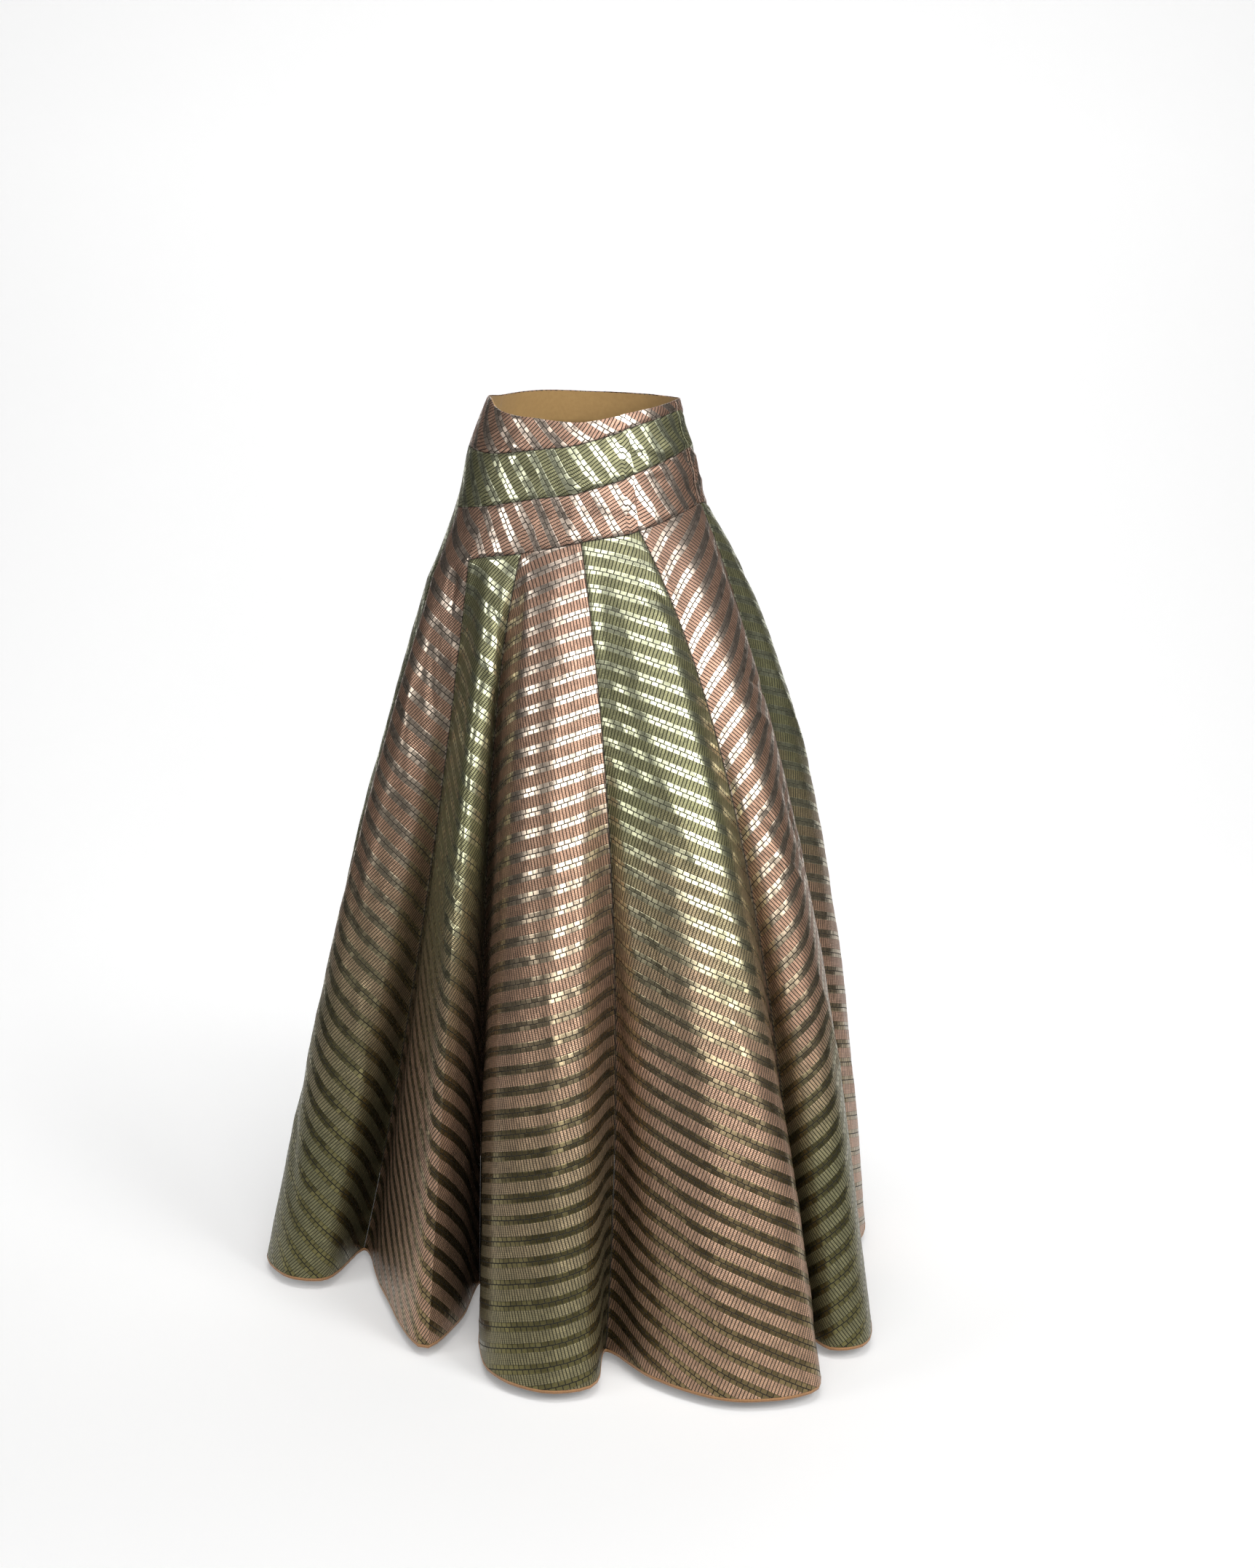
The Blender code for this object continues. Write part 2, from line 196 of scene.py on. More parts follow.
def fold_points(v):
    """The fold lines' points at one depth v: 0 is the yoke's base, 1 the hem."""
    base = smooth_table(YOKE, U_LINE, 4, GORES)
    bx, by = body(HIP, base)
    k = (EASE - 0.5) / (0.5 * (1 - EASE))
    w = v * (1 + k) / (1 + k * v)
    x = bx + (HEM_X - bx) * w
    y = by + (HEM_Y - by) * w
    a = np.arctan2(y, x)
    sway = BOW * 4 * v * (1 - v)
    return np.stack([x - np.sin(a) * sway, y + np.cos(a) * sway,
                     base + (HEM_Z - base) * v], 1)


def yoke_ring(u, level):
    """Points of the yoke: level 0 waist edge, 1 and 2 the band seams, 3 base."""
    lo = min(int(level), 2)
    f = level - lo
    z = (smooth_table(YOKE, u, lo + 1, GORES) * (1 - f)
         + smooth_table(YOKE, u, lo + 2, GORES) * f)
    x, y = body(hip_deg(u), z)
    return np.stack([x, y, z], 1)


def ring_fine(v, cols):
    """One ring of the gores at the fractions cols across each gore, and each gore's width."""
    sub = 24
    c = closed_curve(fold_points(v), sub)
    n = 4 * sub
    pts, width = [], []
    for g in range(GORES):
        seg = np.take(c, range(g * n, g * n + n + 1), axis=0, mode="wrap")
        run = np.concatenate([[0], np.cumsum(np.linalg.norm(np.diff(seg, axis=0), axis=1))])
        at = cols * run[-1]
        pts.append(np.stack([np.interp(at, run, seg[:, k]) for k in range(3)], 1))
        width.append(run[-1])
    return np.stack(pts), np.array(width)


def gore_columns(width):
    """Fractions across one gore for its columns: fine near both seams."""
    near = np.array([0.0, 0.0011, 0.0026, 0.0050, 0.0085]) / width
    near = near * min(1.0, 0.30 / near[-1])
    mid = np.linspace(near[-1], 1 - near[-1], NC + 1 - 2 * (len(near) - 1))
    return np.concatenate([near[:-1], mid, 1 - near[:-1][::-1]])


def smooth(x, lo, hi):
    t = np.clip((x - lo) / (hi - lo), 0, 1)
    return t * t * (3 - 2 * t)


def value_noise(x, y, seed):
    """Smooth noise from -1 to 1 over two coordinate arrays."""
    xi, yi = np.floor(x).astype(np.int64), np.floor(y).astype(np.int64)
    xf, yf = x - xi, y - yi
    xf, yf = xf * xf * (3 - 2 * xf), yf * yf * (3 - 2 * yf)

    def h(a, b):
        k = (a * 374761393 + b * 668265263 + seed * 974634777) & 0x7FFFFFFF
        k = ((k ^ (k >> 13)) * 1274126177) & 0x7FFFFFFF
        return ((k ^ (k >> 16)) & 0xFFFF) / 32767.5 - 1.0

    return ((h(xi, yi) * (1 - xf) + h(xi + 1, yi) * xf) * (1 - yf)
            + (h(xi, yi + 1) * (1 - xf) + h(xi + 1, yi + 1) * xf) * yf)


def fractal(x, y, seed, octaves=3):
    out, amp = 0.0, 1.0
    for o in range(octaves):
        out = out + amp * value_noise(x * 2**o + 17.3 * o, y * 2**o - 9.1 * o, seed + o)
        amp *= 0.5
    return out


def unit(a):
    return a / np.maximum(np.linalg.norm(a, axis=-1, keepdims=True), 1e-12)


# ---------------------------------------------------------------- the fine lattice
BAND_F = np.array([0, .02, .05, .10, .18, .27, .36, .45, .55, .64, .73, .82, .90, .95, .98, 1.0])
BR = len(BAND_F) - 1                      # rows of a band
YR = 3 * BR                               # rows of the yoke
V_ROWS = np.concatenate([[0, .0012, .003, .0055, .009], np.linspace(.014, 1.0, NR - 4)])
V_ROWS = V_ROWS * (1 - (BINDING_H + 0.0003) / 0.95)
COLS = GORES * NC


def build_lattice():
    """Points, gore widths and distances to seams for the whole skirt."""
    base_w = ring_fine(0.0, np.linspace(0, 1, 3))[1]
    first = [gore_columns(w) for w in base_w]
    u = np.concatenate([g + first[g][:-1] for g in range(GORES)])
    rows = []
    for band in range(3):
        for f in BAND_F[:-1]:
            rows.append(yoke_ring(u, band + f))
    base = yoke_ring(u, 3.0)
    start = None
    cols_f = [np.tile(np.concatenate([f[:-1] for f in first]), 1)] * YR
    for v in V_ROWS:
        sub = 24
        c = closed_curve(fold_points(v), sub)
        n = 4 * sub
        pts, fr = [], []
        for g in range(GORES):
            seg = np.take(c, range(g * n, g * n + n + 1), axis=0, mode="wrap")
            run = np.concatenate([[0], np.cumsum(np.linalg.norm(np.diff(seg, axis=0), axis=1))])
            f = gore_columns(run[-1])[:-1]
            pts.append(np.stack([np.interp(f * run[-1], run, seg[:, k]) for k in range(3)], 1))
            fr.append(f)
        p = np.concatenate(pts)
        if start is None:
            start = base - p
        rows.append(p + start * (1 - v) ** 3)
        cols_f.append(np.concatenate(fr))
    return np.stack(rows), np.stack(cols_f)


P, FRAC = build_lattice()
ROWS = P.shape[0] - 1
assert ROWS == YR + NR

STEP = np.linalg.norm(np.roll(P, -1, axis=1) - P, axis=-1)        # to the next column
RUN = np.concatenate([np.zeros((ROWS + 1, 1)), np.cumsum(STEP, axis=1)], axis=1)
DOWN_STEP = np.linalg.norm(np.diff(P, axis=0), axis=-1)
FALL = np.concatenate([np.zeros((1, COLS)), np.cumsum(DOWN_STEP, axis=0)], axis=0)


def width(g):
    """Cloth width of gore g at every row."""
    return RUN[:, (g + 1) * NC] - RUN[:, g * NC]


# ---------------------------------------------------------------- flat cut of each piece
def gore_flat(g, ref, r0):
    """Flat coordinates of gore g from row r0 down: x across, y down.

    ref is the column's place (0 left seam, 0.5 centre, 1 right seam) that
    lies straight in the cut; the rest fans out round it.
    """
    w = width(g)[r0:]
    col = int(round(ref * NC))
    s = FALL[r0:, (g * NC + col) % COLS] - FALL[r0, (g * NC + col) % COLS]
    y0 = YR - r0
    alpha = max((w[-1] - w[y0]) / (s[-1] - s[y0]), 0.02)
    f = np.concatenate([FRAC[r0:, g * NC:(g + 1) * NC], np.ones((len(w), 1))], axis=1)
    q = (f - ref) * alpha
    grow = smooth(np.arange(len(w)), 0, max(y0, 1))[:, None] if y0 else 1.0
    x = w[:, None] * (f - ref) * np.where(np.abs(q) < 1e-6, 1, np.sin(q) / np.where(np.abs(q) < 1e-6, 1, q))
    y = s[:, None] - grow * w[:, None] * (f - ref) * np.where(
        np.abs(q) < 1e-6, 0, (1 - np.cos(q)) / np.where(np.abs(q) < 1e-6, 1, q))
    return x, y


def slant(c0, c1, r0, r1):
    """Cosine and sine of the angle between the rows and the columns."""
    cols = np.arange(c0, c1 + 1) % COLS
    along = unit((P[r0:r1 + 1][:, (cols + 1) % COLS] - P[r0:r1 + 1][:, cols - 1]).mean(axis=0))
    down = unit(P[r1, cols] - P[r0, cols])
    cos = (along * down).sum(axis=-1)
    return cos, np.sqrt(1 - cos**2)


def band_flat(c0, c1, r0, r1, bend=0.0):
    """Flat coordinates of a stretch of the yoke: x from column c0 on, y down.

    bend turns the weave along the band, in radians a metre.
    """
    x = (RUN[r0:r1 + 1, c0:c1 + 1] - RUN[r0:r1 + 1, c0:c0 + 1]).mean(axis=0, keepdims=True)
    cols = np.arange(c0, c1 + 1) % COLS
    fall = FALL[r0:r1 + 1][:, cols] - FALL[r0, cols]
    cos, sin = slant(c0, c1, r0, r1)
    x, y = x + fall * cos, fall * sin
    if bend:
        t = bend * x
        x, y = np.sin(t) / bend - y * np.sin(t), (1 - np.cos(t)) / bend + y * np.cos(t)
    return x, y


def turned(flat, c0, r0, r1):
    """A gore's flat coordinates turned to meet a band at column c0."""
    cos, sin = (float(v[0]) for v in slant(c0, c0, r0, r1))
    x, y = flat
    return x * sin + y * cos, y * sin - x * cos


# ---------------------------------------------------------------- pieces
# angle: direction of the weave's strips, degrees below "straight across to the right" in the flat cut
# mid, soft: where along the gore the colour turns (0 yoke, 1 hem) and over what share; start/end: 0 rose, 1 green
#         piece            angle  mid   soft  start end
CUTS = {"band_a_front":   (  43,  2.0,  0.4,  0,    0),
        "band_a_back":    (  55,  2.0,  0.4,  0,    0),
        "panel_b_gore_0": (  55,  0.55, 0.5,  1,    0),
        "band_b_back":    (  62,  2.0,  0.4,  1,    1),
        "panel_c_gore_1": (  66,  0.58, 0.5,  0,    0.9),
        "band_c_back":    (  66,  2.0,  0.4,  0,    0),
        "gore_2":         (  33,  0.55, 0.4,  1,    0),
        "gore_3":         ( -18,  0.76, 0.5,  0,    0.8),
        "gore_4":         (  27,  0.47, 0.4,  1,    0),
        "gore_5":         ( -29,  0.64, 0.3,  0,    0.9),
        "gore_6":         (  18,  0.38, 0.4,  1,    0),
        "gore_7":         ( -38,  0.60, 0.4,  0,    1),
        "gore_8":         (  22,  0.50, 0.4,  1,    0),
        "gore_9":         (  -8,  0.66, 0.4,  0,    1),
        "gore_10":        (  48,  0.52, 0.4,  1,    0),
        "gore_11":        ( -30,  0.60, 0.4,  0,    1)}


# ---------------------------------------------------------------- cloth relief
def col_u():
    """Place round the skirt of every lattice column, in gores, and its gore."""
    g = np.arange(COLS) // NC
    return g[None, :] + FRAC, g


U_AT, GORE_AT = col_u()
DIST_L = np.stack([RUN[:, j] - RUN[:, (j // NC) * NC] for j in range(COLS)], 1)      # to the seam before
DIST_R = np.stack([RUN[:, (j // NC + 1) * NC] - RUN[:, j] for j in range(COLS)], 1)  # to the seam behind
Z = P[:, :, 2]

# creases listed one by one: gore place and row height at both ends, depth (mm, + out, - in), half width (mm)
#            u0    z0      u1    z1     mm    half
CREASES = [( 4.90, -0.058,  5.62, -0.070, -2.2,  4),     # crinkles in the second band
           ( 4.70, -0.078,  5.40, -0.088,  2.2,  4),
           ( 5.02, -0.080,  5.60, -0.100, -2.0,  4),
           ( 4.30, -0.072,  4.80, -0.088,  1.9,  5),
           ( 3.90, -0.140,  4.50, -0.132, -2.0,  5),     # and in the third
           ( 4.20, -0.118,  4.62, -0.112,  2.0,  4),
           ( 3.30, -0.030,  3.90, -0.026, -1.5,  5),     # and in the first
           ( 2.30, -0.040,  2.90, -0.060,  1.7,  5),
           ( 5.62, -0.030,  5.98, -0.040, -2.7,  5),     # drag lines at the closure
           ( 5.45, -0.052,  5.97, -0.052,  2.4,  5),
           ( 5.30, -0.070,  5.95, -0.068, -2.5,  5),
           ( 5.50, -0.092,  5.96, -0.085,  2.1,  5),
           ( 5.66, -0.110,  5.97, -0.102, -2.2,  5),
           ( 4.55, -0.060,  5.20, -0.064, -2.1,  6),     # soft sags across the bands
           ( 3.60, -0.098,  4.40, -0.092,  2.0,  8),
           ( 2.60, -0.080,  3.20, -0.092, -1.7,  8),
           ( 3.20, -0.140,  3.80, -0.134, -2.1,  8),
           ( 4.30, -0.128,  4.95, -0.118,  2.1,  8),
           ( 2.20, -0.160,  2.70, -0.150,  1.7,  7),
           ( 1.72, -0.200,  1.90, -0.300, -3.9,  6),     # gore 1, folds by its right seam
           ( 1.80, -0.230,  1.97, -0.350,  3.9,  6),
           ( 1.60, -0.260,  1.86, -0.420, -3.1,  8),
           ( 1.40, -0.330,  1.72, -0.520,  2.8, 10),
           ( 1.30, -0.560,  1.62, -0.760, -3.1, 12),
           ( 1.55, -0.700,  1.72, -0.900,  3.1, 10),
           ( 1.20, -0.860,  1.45, -1.050, -2.8, 12),
           ( 2.66, -0.235,  2.92, -0.285, -3.9,  6),     # gore 2
           ( 2.60, -0.290,  2.90, -0.350,  3.1,  7),
           ( 2.30, -0.330,  2.52, -0.430, -2.6,  8),
           ( 2.42, -0.520,  2.60, -0.660,  2.6,  9),
           ( 2.34, -0.760,  2.55, -0.930, -2.8, 10),
           ( 3.12, -0.210,  3.30, -0.300, -2.1,  8),     # gore 3
           ( 3.70, -0.270,  3.92, -0.380,  2.1,  9),
           ( 3.24, -0.470,  3.36, -0.640, -2.4, 11),
           ( 3.62, -0.620,  3.80, -0.820,  2.6, 12),
           ( 3.20, -0.800,  3.38, -1.000,  2.8, 12),
           ( 3.56, -0.930,  3.66, -1.120, -3.0, 11),
           ( 4.66, -0.212,  4.96, -0.232, -3.5,  5),     # gore 4, crinkles under the yoke
           ( 4.50, -0.235,  4.92, -0.262,  2.8,  6),
           ( 4.10, -0.330,  4.34, -0.470, -2.6, 10),
           ( 4.42, -0.420,  4.62, -0.600,  3.0, 11),
           ( 4.18, -0.560,  4.36, -0.800, -3.5, 12),
           ( 4.58, -0.640,  4.74, -0.860, -3.1, 11),
           ( 4.30, -0.860,  4.46, -1.090,  3.5, 13),
           ( 4.66, -0.930,  4.76, -1.110, -3.0, 11),
           ( 4.12, -0.900,  4.20, -1.080, -2.6, 10),
           ( 5.40, -0.330,  5.78, -0.360, -3.5,  6),     # gore 5, crinkles in its upper third
           ( 5.22, -0.360,  5.62, -0.400,  3.1,  7),
           ( 5.12, -0.480,  5.34, -0.530, -3.5,  7),
           ( 5.14, -0.520,  5.40, -0.590,  3.5,  7),
           ( 5.44, -0.450,  5.58, -0.620, -2.8,  9),
           ( 5.30, -0.680,  5.46, -0.840,  3.1, 10),
           ( 5.50, -0.860,  5.60, -1.040, -3.1, 10),
           ( 6.30, -0.200,  6.62, -0.250, -2.7,  7),     # side and back, of the same kinds
           ( 6.20, -0.330,  6.48, -0.480,  2.4, 10),
           ( 6.55, -0.520,  6.70, -0.740, -2.8, 12),
           ( 6.26, -0.780,  6.44, -0.980,  2.5, 12),
           ( 7.50, -0.230,  7.86, -0.262, -2.8,  7),
           ( 7.20, -0.360,  7.42, -0.540, -2.5, 11),
           ( 7.52, -0.620,  7.70, -0.850,  2.8, 12),
           ( 7.30, -0.900,  7.42, -1.080, -2.5, 11),
           ( 8.12, -0.250,  8.40, -0.310,  2.5,  8),
           ( 8.46, -0.400,  8.66, -0.640, -2.8, 11),
           ( 8.22, -0.680,  8.38, -0.900,  2.7, 12),
           ( 8.62, -0.900,  8.72, -1.090, -2.7, 11),
           ( 9.60, -0.262,  9.92, -0.300, -2.7,  7),
           ( 9.22, -0.380,  9.40, -0.580,  2.7, 11),
           ( 9.56, -0.600,  9.70, -0.830, -3.0, 12),
           ( 9.24, -0.880,  9.40, -1.080, -2.4, 12),
           (10.20, -0.280, 10.54, -0.330, -2.7,  8),
           (10.60, -0.430, 10.78, -0.660,  2.7, 11),
           (10.28, -0.620, 10.44, -0.880, -2.8, 12),
           (10.62, -0.900, 10.74, -1.090,  2.4, 11),
           (11.40, -0.290, 11.76, -0.340,  2.5,  8),
           (11.22, -0.420, 11.44, -0.640, -2.8, 11),
           (11.58, -0.700, 11.70, -0.920,  2.7, 11),
           (11.30, -0.920, 11.40, -1.100, -2.4, 10),
           ( 0.30, -0.300,  0.62, -0.360, -2.7,  8),
           ( 0.56, -0.460,  0.74, -0.680,  2.7, 11),
           ( 0.26, -0.640,  0.44, -0.880, -2.7, 11),
           ( 0.58, -0.900,  0.68, -1.080, -2.4, 10),
           ( 7.10, -0.050,  7.90, -0.058, -2.1,  6),     # back yoke
           ( 8.20, -0.085,  9.10, -0.092,  2.1,  8),
           ( 9.40, -0.070, 10.20, -0.078, -2.1,  8),
           (10.60, -0.150, 11.40, -0.160,  2.1,  8),
           ( 6.04, -0.060,  6.60, -0.064, -2.5,  5),
           ( 6.05, -0.095,  6.52, -0.105,  2.2,  5)]


def relief():
    """How far every lattice point moves along its normal, in metres."""
    zz, uu = Z, U_AT
    gore_w = np.stack([width(g) for g in range(GORES)], 1)[:, GORE_AT]
    x = RUN[:, :COLS]                                       # metres along the row
    below = np.arange(ROWS + 1)[:, None] >= YR
    d = np.zeros_like(zz)
    # the wide swell of hanging cloth, quiet on the fitted yoke
    quiet = np.where(below, 0.35 + 0.65 * smooth(-zz, 0.20, 0.55), 0.55)
    ang = uu * (2 * math.pi / GORES)
    sx, sy = np.cos(ang) * 3.2, np.sin(ang) * 3.2           # seamless round the skirt
    d += 0.0011 * quiet * fractal(uu * 2.6, zz * 9.0, 11) * smooth(np.minimum(DIST_L, DIST_R), 0, 0.02)
    # foil crinkle: small flats and folds
    d += 0.00030 * (0.5 + 0.5 * quiet) * fractal(x * 42, zz * 38, 31) * smooth(np.minimum(DIST_L, DIST_R), 0, 0.01)
    # creases listed one by one
    for u0, z0, u1, z1, mm, half in CREASES:
        du, dz = (u1 - u0), (z1 - z0)
        du_m = du * gore_w
        pu = (uu - u0) * gore_w
        q = (pu * du_m + (zz - z0) * dz) / np.maximum(du_m**2 + dz**2, 1e-9)
        wave = 0.18 * half / 1000 * np.sin(7.0 * q + u0 * 9)
        off = np.hypot(pu - q.clip(0, 1) * du_m, zz - z0 - q.clip(0, 1) * dz) + wave
        near = np.exp(-(off / (half / 1000))**2) * smooth(q, -0.10, 0.30) * (1 - smooth(q, 0.70, 1.10))
        d += mm / 1000 * near * (np.abs(uu - (u0 + u1) / 2) < 1.2)
    return d


def seam_relief(below):
    """Dip and puckers at the seams that run down the gores."""
    d = np.zeros_like(Z)
    for side, dist in ((0, DIST_L), (1, DIST_R)):
        seam = (GORE_AT + side) % GORES
        roll = -0.0007 * np.exp(-(dist / 0.0018)**2)
        s = -Z
        n = value_noise(s * 62 + seam * 7.7, seam * 3.1 + 0 * s, 71)
        firm = 0.35 + 0.65 * smooth(s, 0.45, 0.20)                     # livelier just under the yoke
        puck = n * firm * np.exp(-dist / 0.009) * (1 - np.exp(-(dist / 0.003)**2)) * 0.00085
        lift = 0.0005 * np.exp(-((dist - 0.006) / 0.004)**2)
        live = np.where(below, 1.0, 0.0)
        d += (roll + puck + lift) * live
    return d


def band_relief():
    """Dip and puckers at the slanting seams of the yoke."""
    d = np.zeros_like(Z)
    for r in (0, BR, 2 * BR, YR):
        dist = np.abs(FALL - FALL[r][None, :])
        s = RUN[r, :COLS][None, :]
        n = value_noise(s * 55 + 0 * dist, 0 * dist + r * 0.37, 83 + r)
        roll = -0.0008 * np.exp(-(dist / 0.0020)**2)
        puck = n * np.exp(-dist / 0.008) * (1 - np.exp(-(dist / 0.003)**2)) * 0.0008
        lift = 0.00045 * np.exp(-((dist - 0.006) / 0.004)**2)
        if r == 0:
            d += -0.0006 * np.exp(-(dist / 0.002)**2) + 0.4 * puck
        elif r == YR:
            live = np.where((GORE_AT[None, :] == 0) | ((GORE_AT[None, :] == 1)), 0.0, 1.0)
            d += (roll + puck + lift) * live
        else:
            skip = (0, 1) if r == 2 * BR else (0,)
            live = np.where(np.isin(GORE_AT, skip)[None, :], 0.0, 1.0)
            d += (roll + puck + lift) * live
    # side closure: the cloth pulls in towards its edge
    s = -Z
    for side, dist in ((1, DIST_L), (0, DIST_R)):
        g = 6 if side else 5
        on = (GORE_AT[None, :] == g) & (np.arange(ROWS + 1)[:, None] <= YR)
        n = value_noise(s * 46, s * 0 + 5.5 + side, 97)
        d += on * (-0.0012 * np.exp(-(dist / 0.005)**2) + 0.0013 * n * np.exp(-dist / 0.014)
                   * (1 - np.exp(-(dist / 0.004)**2)))
    return d


def seam_shade():
    """Closeness of every lattice point to a stitched seam, 1 on it."""
    near = lambda dist: np.exp(-(dist / 0.0014)**2)
    out = np.where(seam_below, np.maximum(near(DIST_L), near(DIST_R)), 0.0)
    for r in (BR, 2 * BR, YR):
        skip = {BR: (), 2 * BR: (0,), YR: (0, 1)}[r]
        live = ~np.isin(GORE_AT, skip)[None, :]
        out = np.maximum(out, near(np.abs(FALL - FALL[r][None, :])) * live)
    return out


def normals():
    """Outward normal at every lattice point, the mean of both sides."""
    along = unit(unit(np.roll(P, -1, axis=1) - P) + unit(P - np.roll(P, 1, axis=1)))
    down = np.gradient(P, axis=0)
    return unit(np.cross(down, along))


BELOW = np.arange(ROWS + 1)[:, None] >= YR - 1
N = normals()
seam_below = BELOW | ((GORE_AT[None, :] <= 1) & (Z < -0.20))
D = relief() + seam_relief(seam_below) + band_relief()
hem_n = N[ROWS].copy()
hem_n[:, 2] = 0
N[ROWS] = unit(hem_n)
D = np.where(FALL < 0.052, np.maximum(D, -0.0008), D)          # room for the facing
TOP = P + N * D[..., None]
TOP[ROWS, :, 2] = HEM_Z + BINDING_H + 0.0003
SEAM = seam_shade()


# ---------------------------------------------------------------- turning the lattice into pieces
def hollow():
    """How far every lattice point lies inside the hull of its row, in metres."""
    out = np.zeros(Z.shape)
    for i in range(ROWS + 1):
        p = TOP[i, :, :2]
        first = int(np.argmax(p[:, 0]))
        order = (np.arange(COLS + 1) + first) % COLS
        hull = []
        for k in range(COLS + 1):
            q = p[order[k]]
            while len(hull) > 1:
                a, b = p[order[hull[-2]]], p[order[hull[-1]]]
                if (b[0] - a[0]) * (q[1] - a[1]) - (b[1] - a[1]) * (q[0] - a[0]) > 0:
                    break
                hull.pop()
            hull.append(k)
        for a, b in zip(hull[:-1], hull[1:]):
            e = p[order[b]] - p[order[a]]
            k = order[a:b]
            w = p[k] - p[order[a]]
            out[i, k] = np.abs(e[0] * w[:, 1] - e[1] * w[:, 0]) / max(float(np.hypot(*e)), 1e-9)
    return out


# and the cloth right beside a seam lies in the fold's shadow, more so low down
HOLLOW = hollow() + 0.062 * smooth(-Z, 0.26, 0.65) * np.exp(-(np.minimum(DIST_L, DIST_R) / 0.023)**2)


def colours(piece):
    """Share of green at every lattice point, 0 rose to 1 green."""
    _, mid, soft, a, b = CUTS[piece]
    v = (-Z - 0.17) / (1.14 - 0.17)
    n = 0.05 * fractal(U_AT * 5, Z * 9, 51)
    t = smooth(v + n, mid - soft / 2, mid + soft / 2)
    return a * (1 - t) + b * t


def cloth_area(pts):
    a, b = pts[:-1, :-1], pts[1:, 1:]
    c, e = pts[1:, :-1], pts[:-1, 1:]
    return float((np.linalg.norm(np.cross(c - a, b - a), axis=-1)
                  + np.linalg.norm(np.cross(b - a, e - a), axis=-1)).sum() / 2)


def shell(piece, blocks, mat):
    """A closed shell of cloth from blocks of the lattice.

    A block is first row, last row, first column, last column, x and y of the
    flat cut. Blocks of one piece that meet share their points.
    """
    index, outer, inner, tint, seam, deep, faces, quads = {}, [], [], [], [], [], [], []
    cells = set()
    for (r0, r1, c0, c1, x, y) in blocks:
        cells |= {(i, j) for i in range(r0, r1) for j in range(c0, c1)}
    ang = math.radians(CUTS[piece][0])
    tone = colours(piece)
    half = 0.00012
    for (r0, r1, c0, c1, x, y) in blocks:
        ua = x * math.cos(ang) + y * math.sin(ang)
        ub = -x * math.sin(ang) + y * math.cos(ang)
        for i in range(r0, r1 + 1):
            for j in range(c0, c1 + 1):
                if (i, j) in index:
                    continue
                k = j % COLS
                ne, nw = (i - 1, j) in cells, (i - 1, j - 1) in cells
                se, sw = (i, j) in cells, (i, j - 1) in cells
                su = -(not ne) - (not se) + (not nw) + (not sw)
                sd = (not ne) + (not nw) - (not se) - (not sw)
                move = np.zeros(3)
                if su:
                    move = move + np.sign(su) * unit(TOP[i, (k + 1) % COLS] - TOP[i, k - 1]) * half
                if sd and i not in (0, ROWS):
                    move = move + np.sign(sd) * unit(TOP[min(i + 1, ROWS), k] - TOP[max(i - 1, 0), k]) * half
                index[(i, j)] = len(outer)
                outer.append(TOP[i, k] + move)
                n = N[i, k]
                if i in (0, ROWS):
                    n = unit(np.array([n[0], n[1], 0.0]))
                inner.append(TOP[i, k] + move - n * WALL)
                tint.append(float(tone[i, k]))
                seam.append(float(SEAM[i, k]))
                deep.append(float(HOLLOW[i, k]))
        for i in range(r0, r1):
            for j in range(c0, c1):
                q = [index[(i, j)], index[(i + 1, j)], index[(i + 1, j + 1)], index[(i, j + 1)]]
                uv = [(ua[a - r0, b - c0], ub[a - r0, b - c0])
                      for a, b in ((i, j), (i + 1, j), (i + 1, j + 1), (i, j + 1))]
                quads.append((q, uv))
    n_out = len(outer)
    loops_uv, edges = [], {}
    for q, uv in quads:
        faces.append(q)
        loops_uv += uv
        for k in range(4):
            edges[(q[k], q[(k + 1) % 4])] = uv[k]
    for q, uv in quads:
        faces.append([k + n_out for k in reversed(q)])
        loops_uv += list(reversed(uv))
    for (a, b), uv in edges.items():
        if (b, a) not in edges:
            faces.append([b, a, a + n_out, b + n_out])
            loops_uv += [uv] * 4
    me = bpy.data.meshes.new(piece)
    me.from_pydata([tuple(map(float, v)) for v in outer + inner], [], faces)
    layer = me.uv_layers.new(name="UVMap")
    layer.data.foreach_set("uv", np.array(loops_uv, dtype=np.float32).ravel())
    att = me.attributes.new("green", "FLOAT", "POINT")
    att.data.foreach_set("value", np.array(tint + tint, dtype=np.float32))
    att = me.attributes.new("low", "FLOAT", "POINT")
    low = [min(max((-p[2] - 0.20) / 0.90, 0.0), 1.0) for p in outer]
    att.data.foreach_set("value", np.array(low + low, dtype=np.float32))
    att = me.attributes.new("hollow", "FLOAT", "POINT")
    att.data.foreach_set("value", np.array(deep + deep, dtype=np.float32))
    att = me.attributes.new("seam", "FLOAT", "POINT")
    att.data.foreach_set("value", np.array(seam + seam, dtype=np.float32))
    me.update()
    me.shade_smooth()
    me.set_sharp_from_angle(angle=math.radians(50))
    me.materials.append(mat)
    ob = bpy.data.objects.new("cloth_" + piece, me)
    bpy.context.scene.collection.objects.link(ob)
    area = sum(cloth_area(TOP[r0:r1 + 1][:, np.arange(c0, c1 + 1) % COLS]) for (r0, r1, c0, c1, _, _) in blocks)
    return ob, area


# ---------------------------------------------------------------- materials
def new_material(name):
    m = bpy.data.materials.new(name)
    m.use_nodes = True
    return m, m.node_tree.nodes, m.node_tree.links, m.node_tree.nodes["Principled BSDF"]


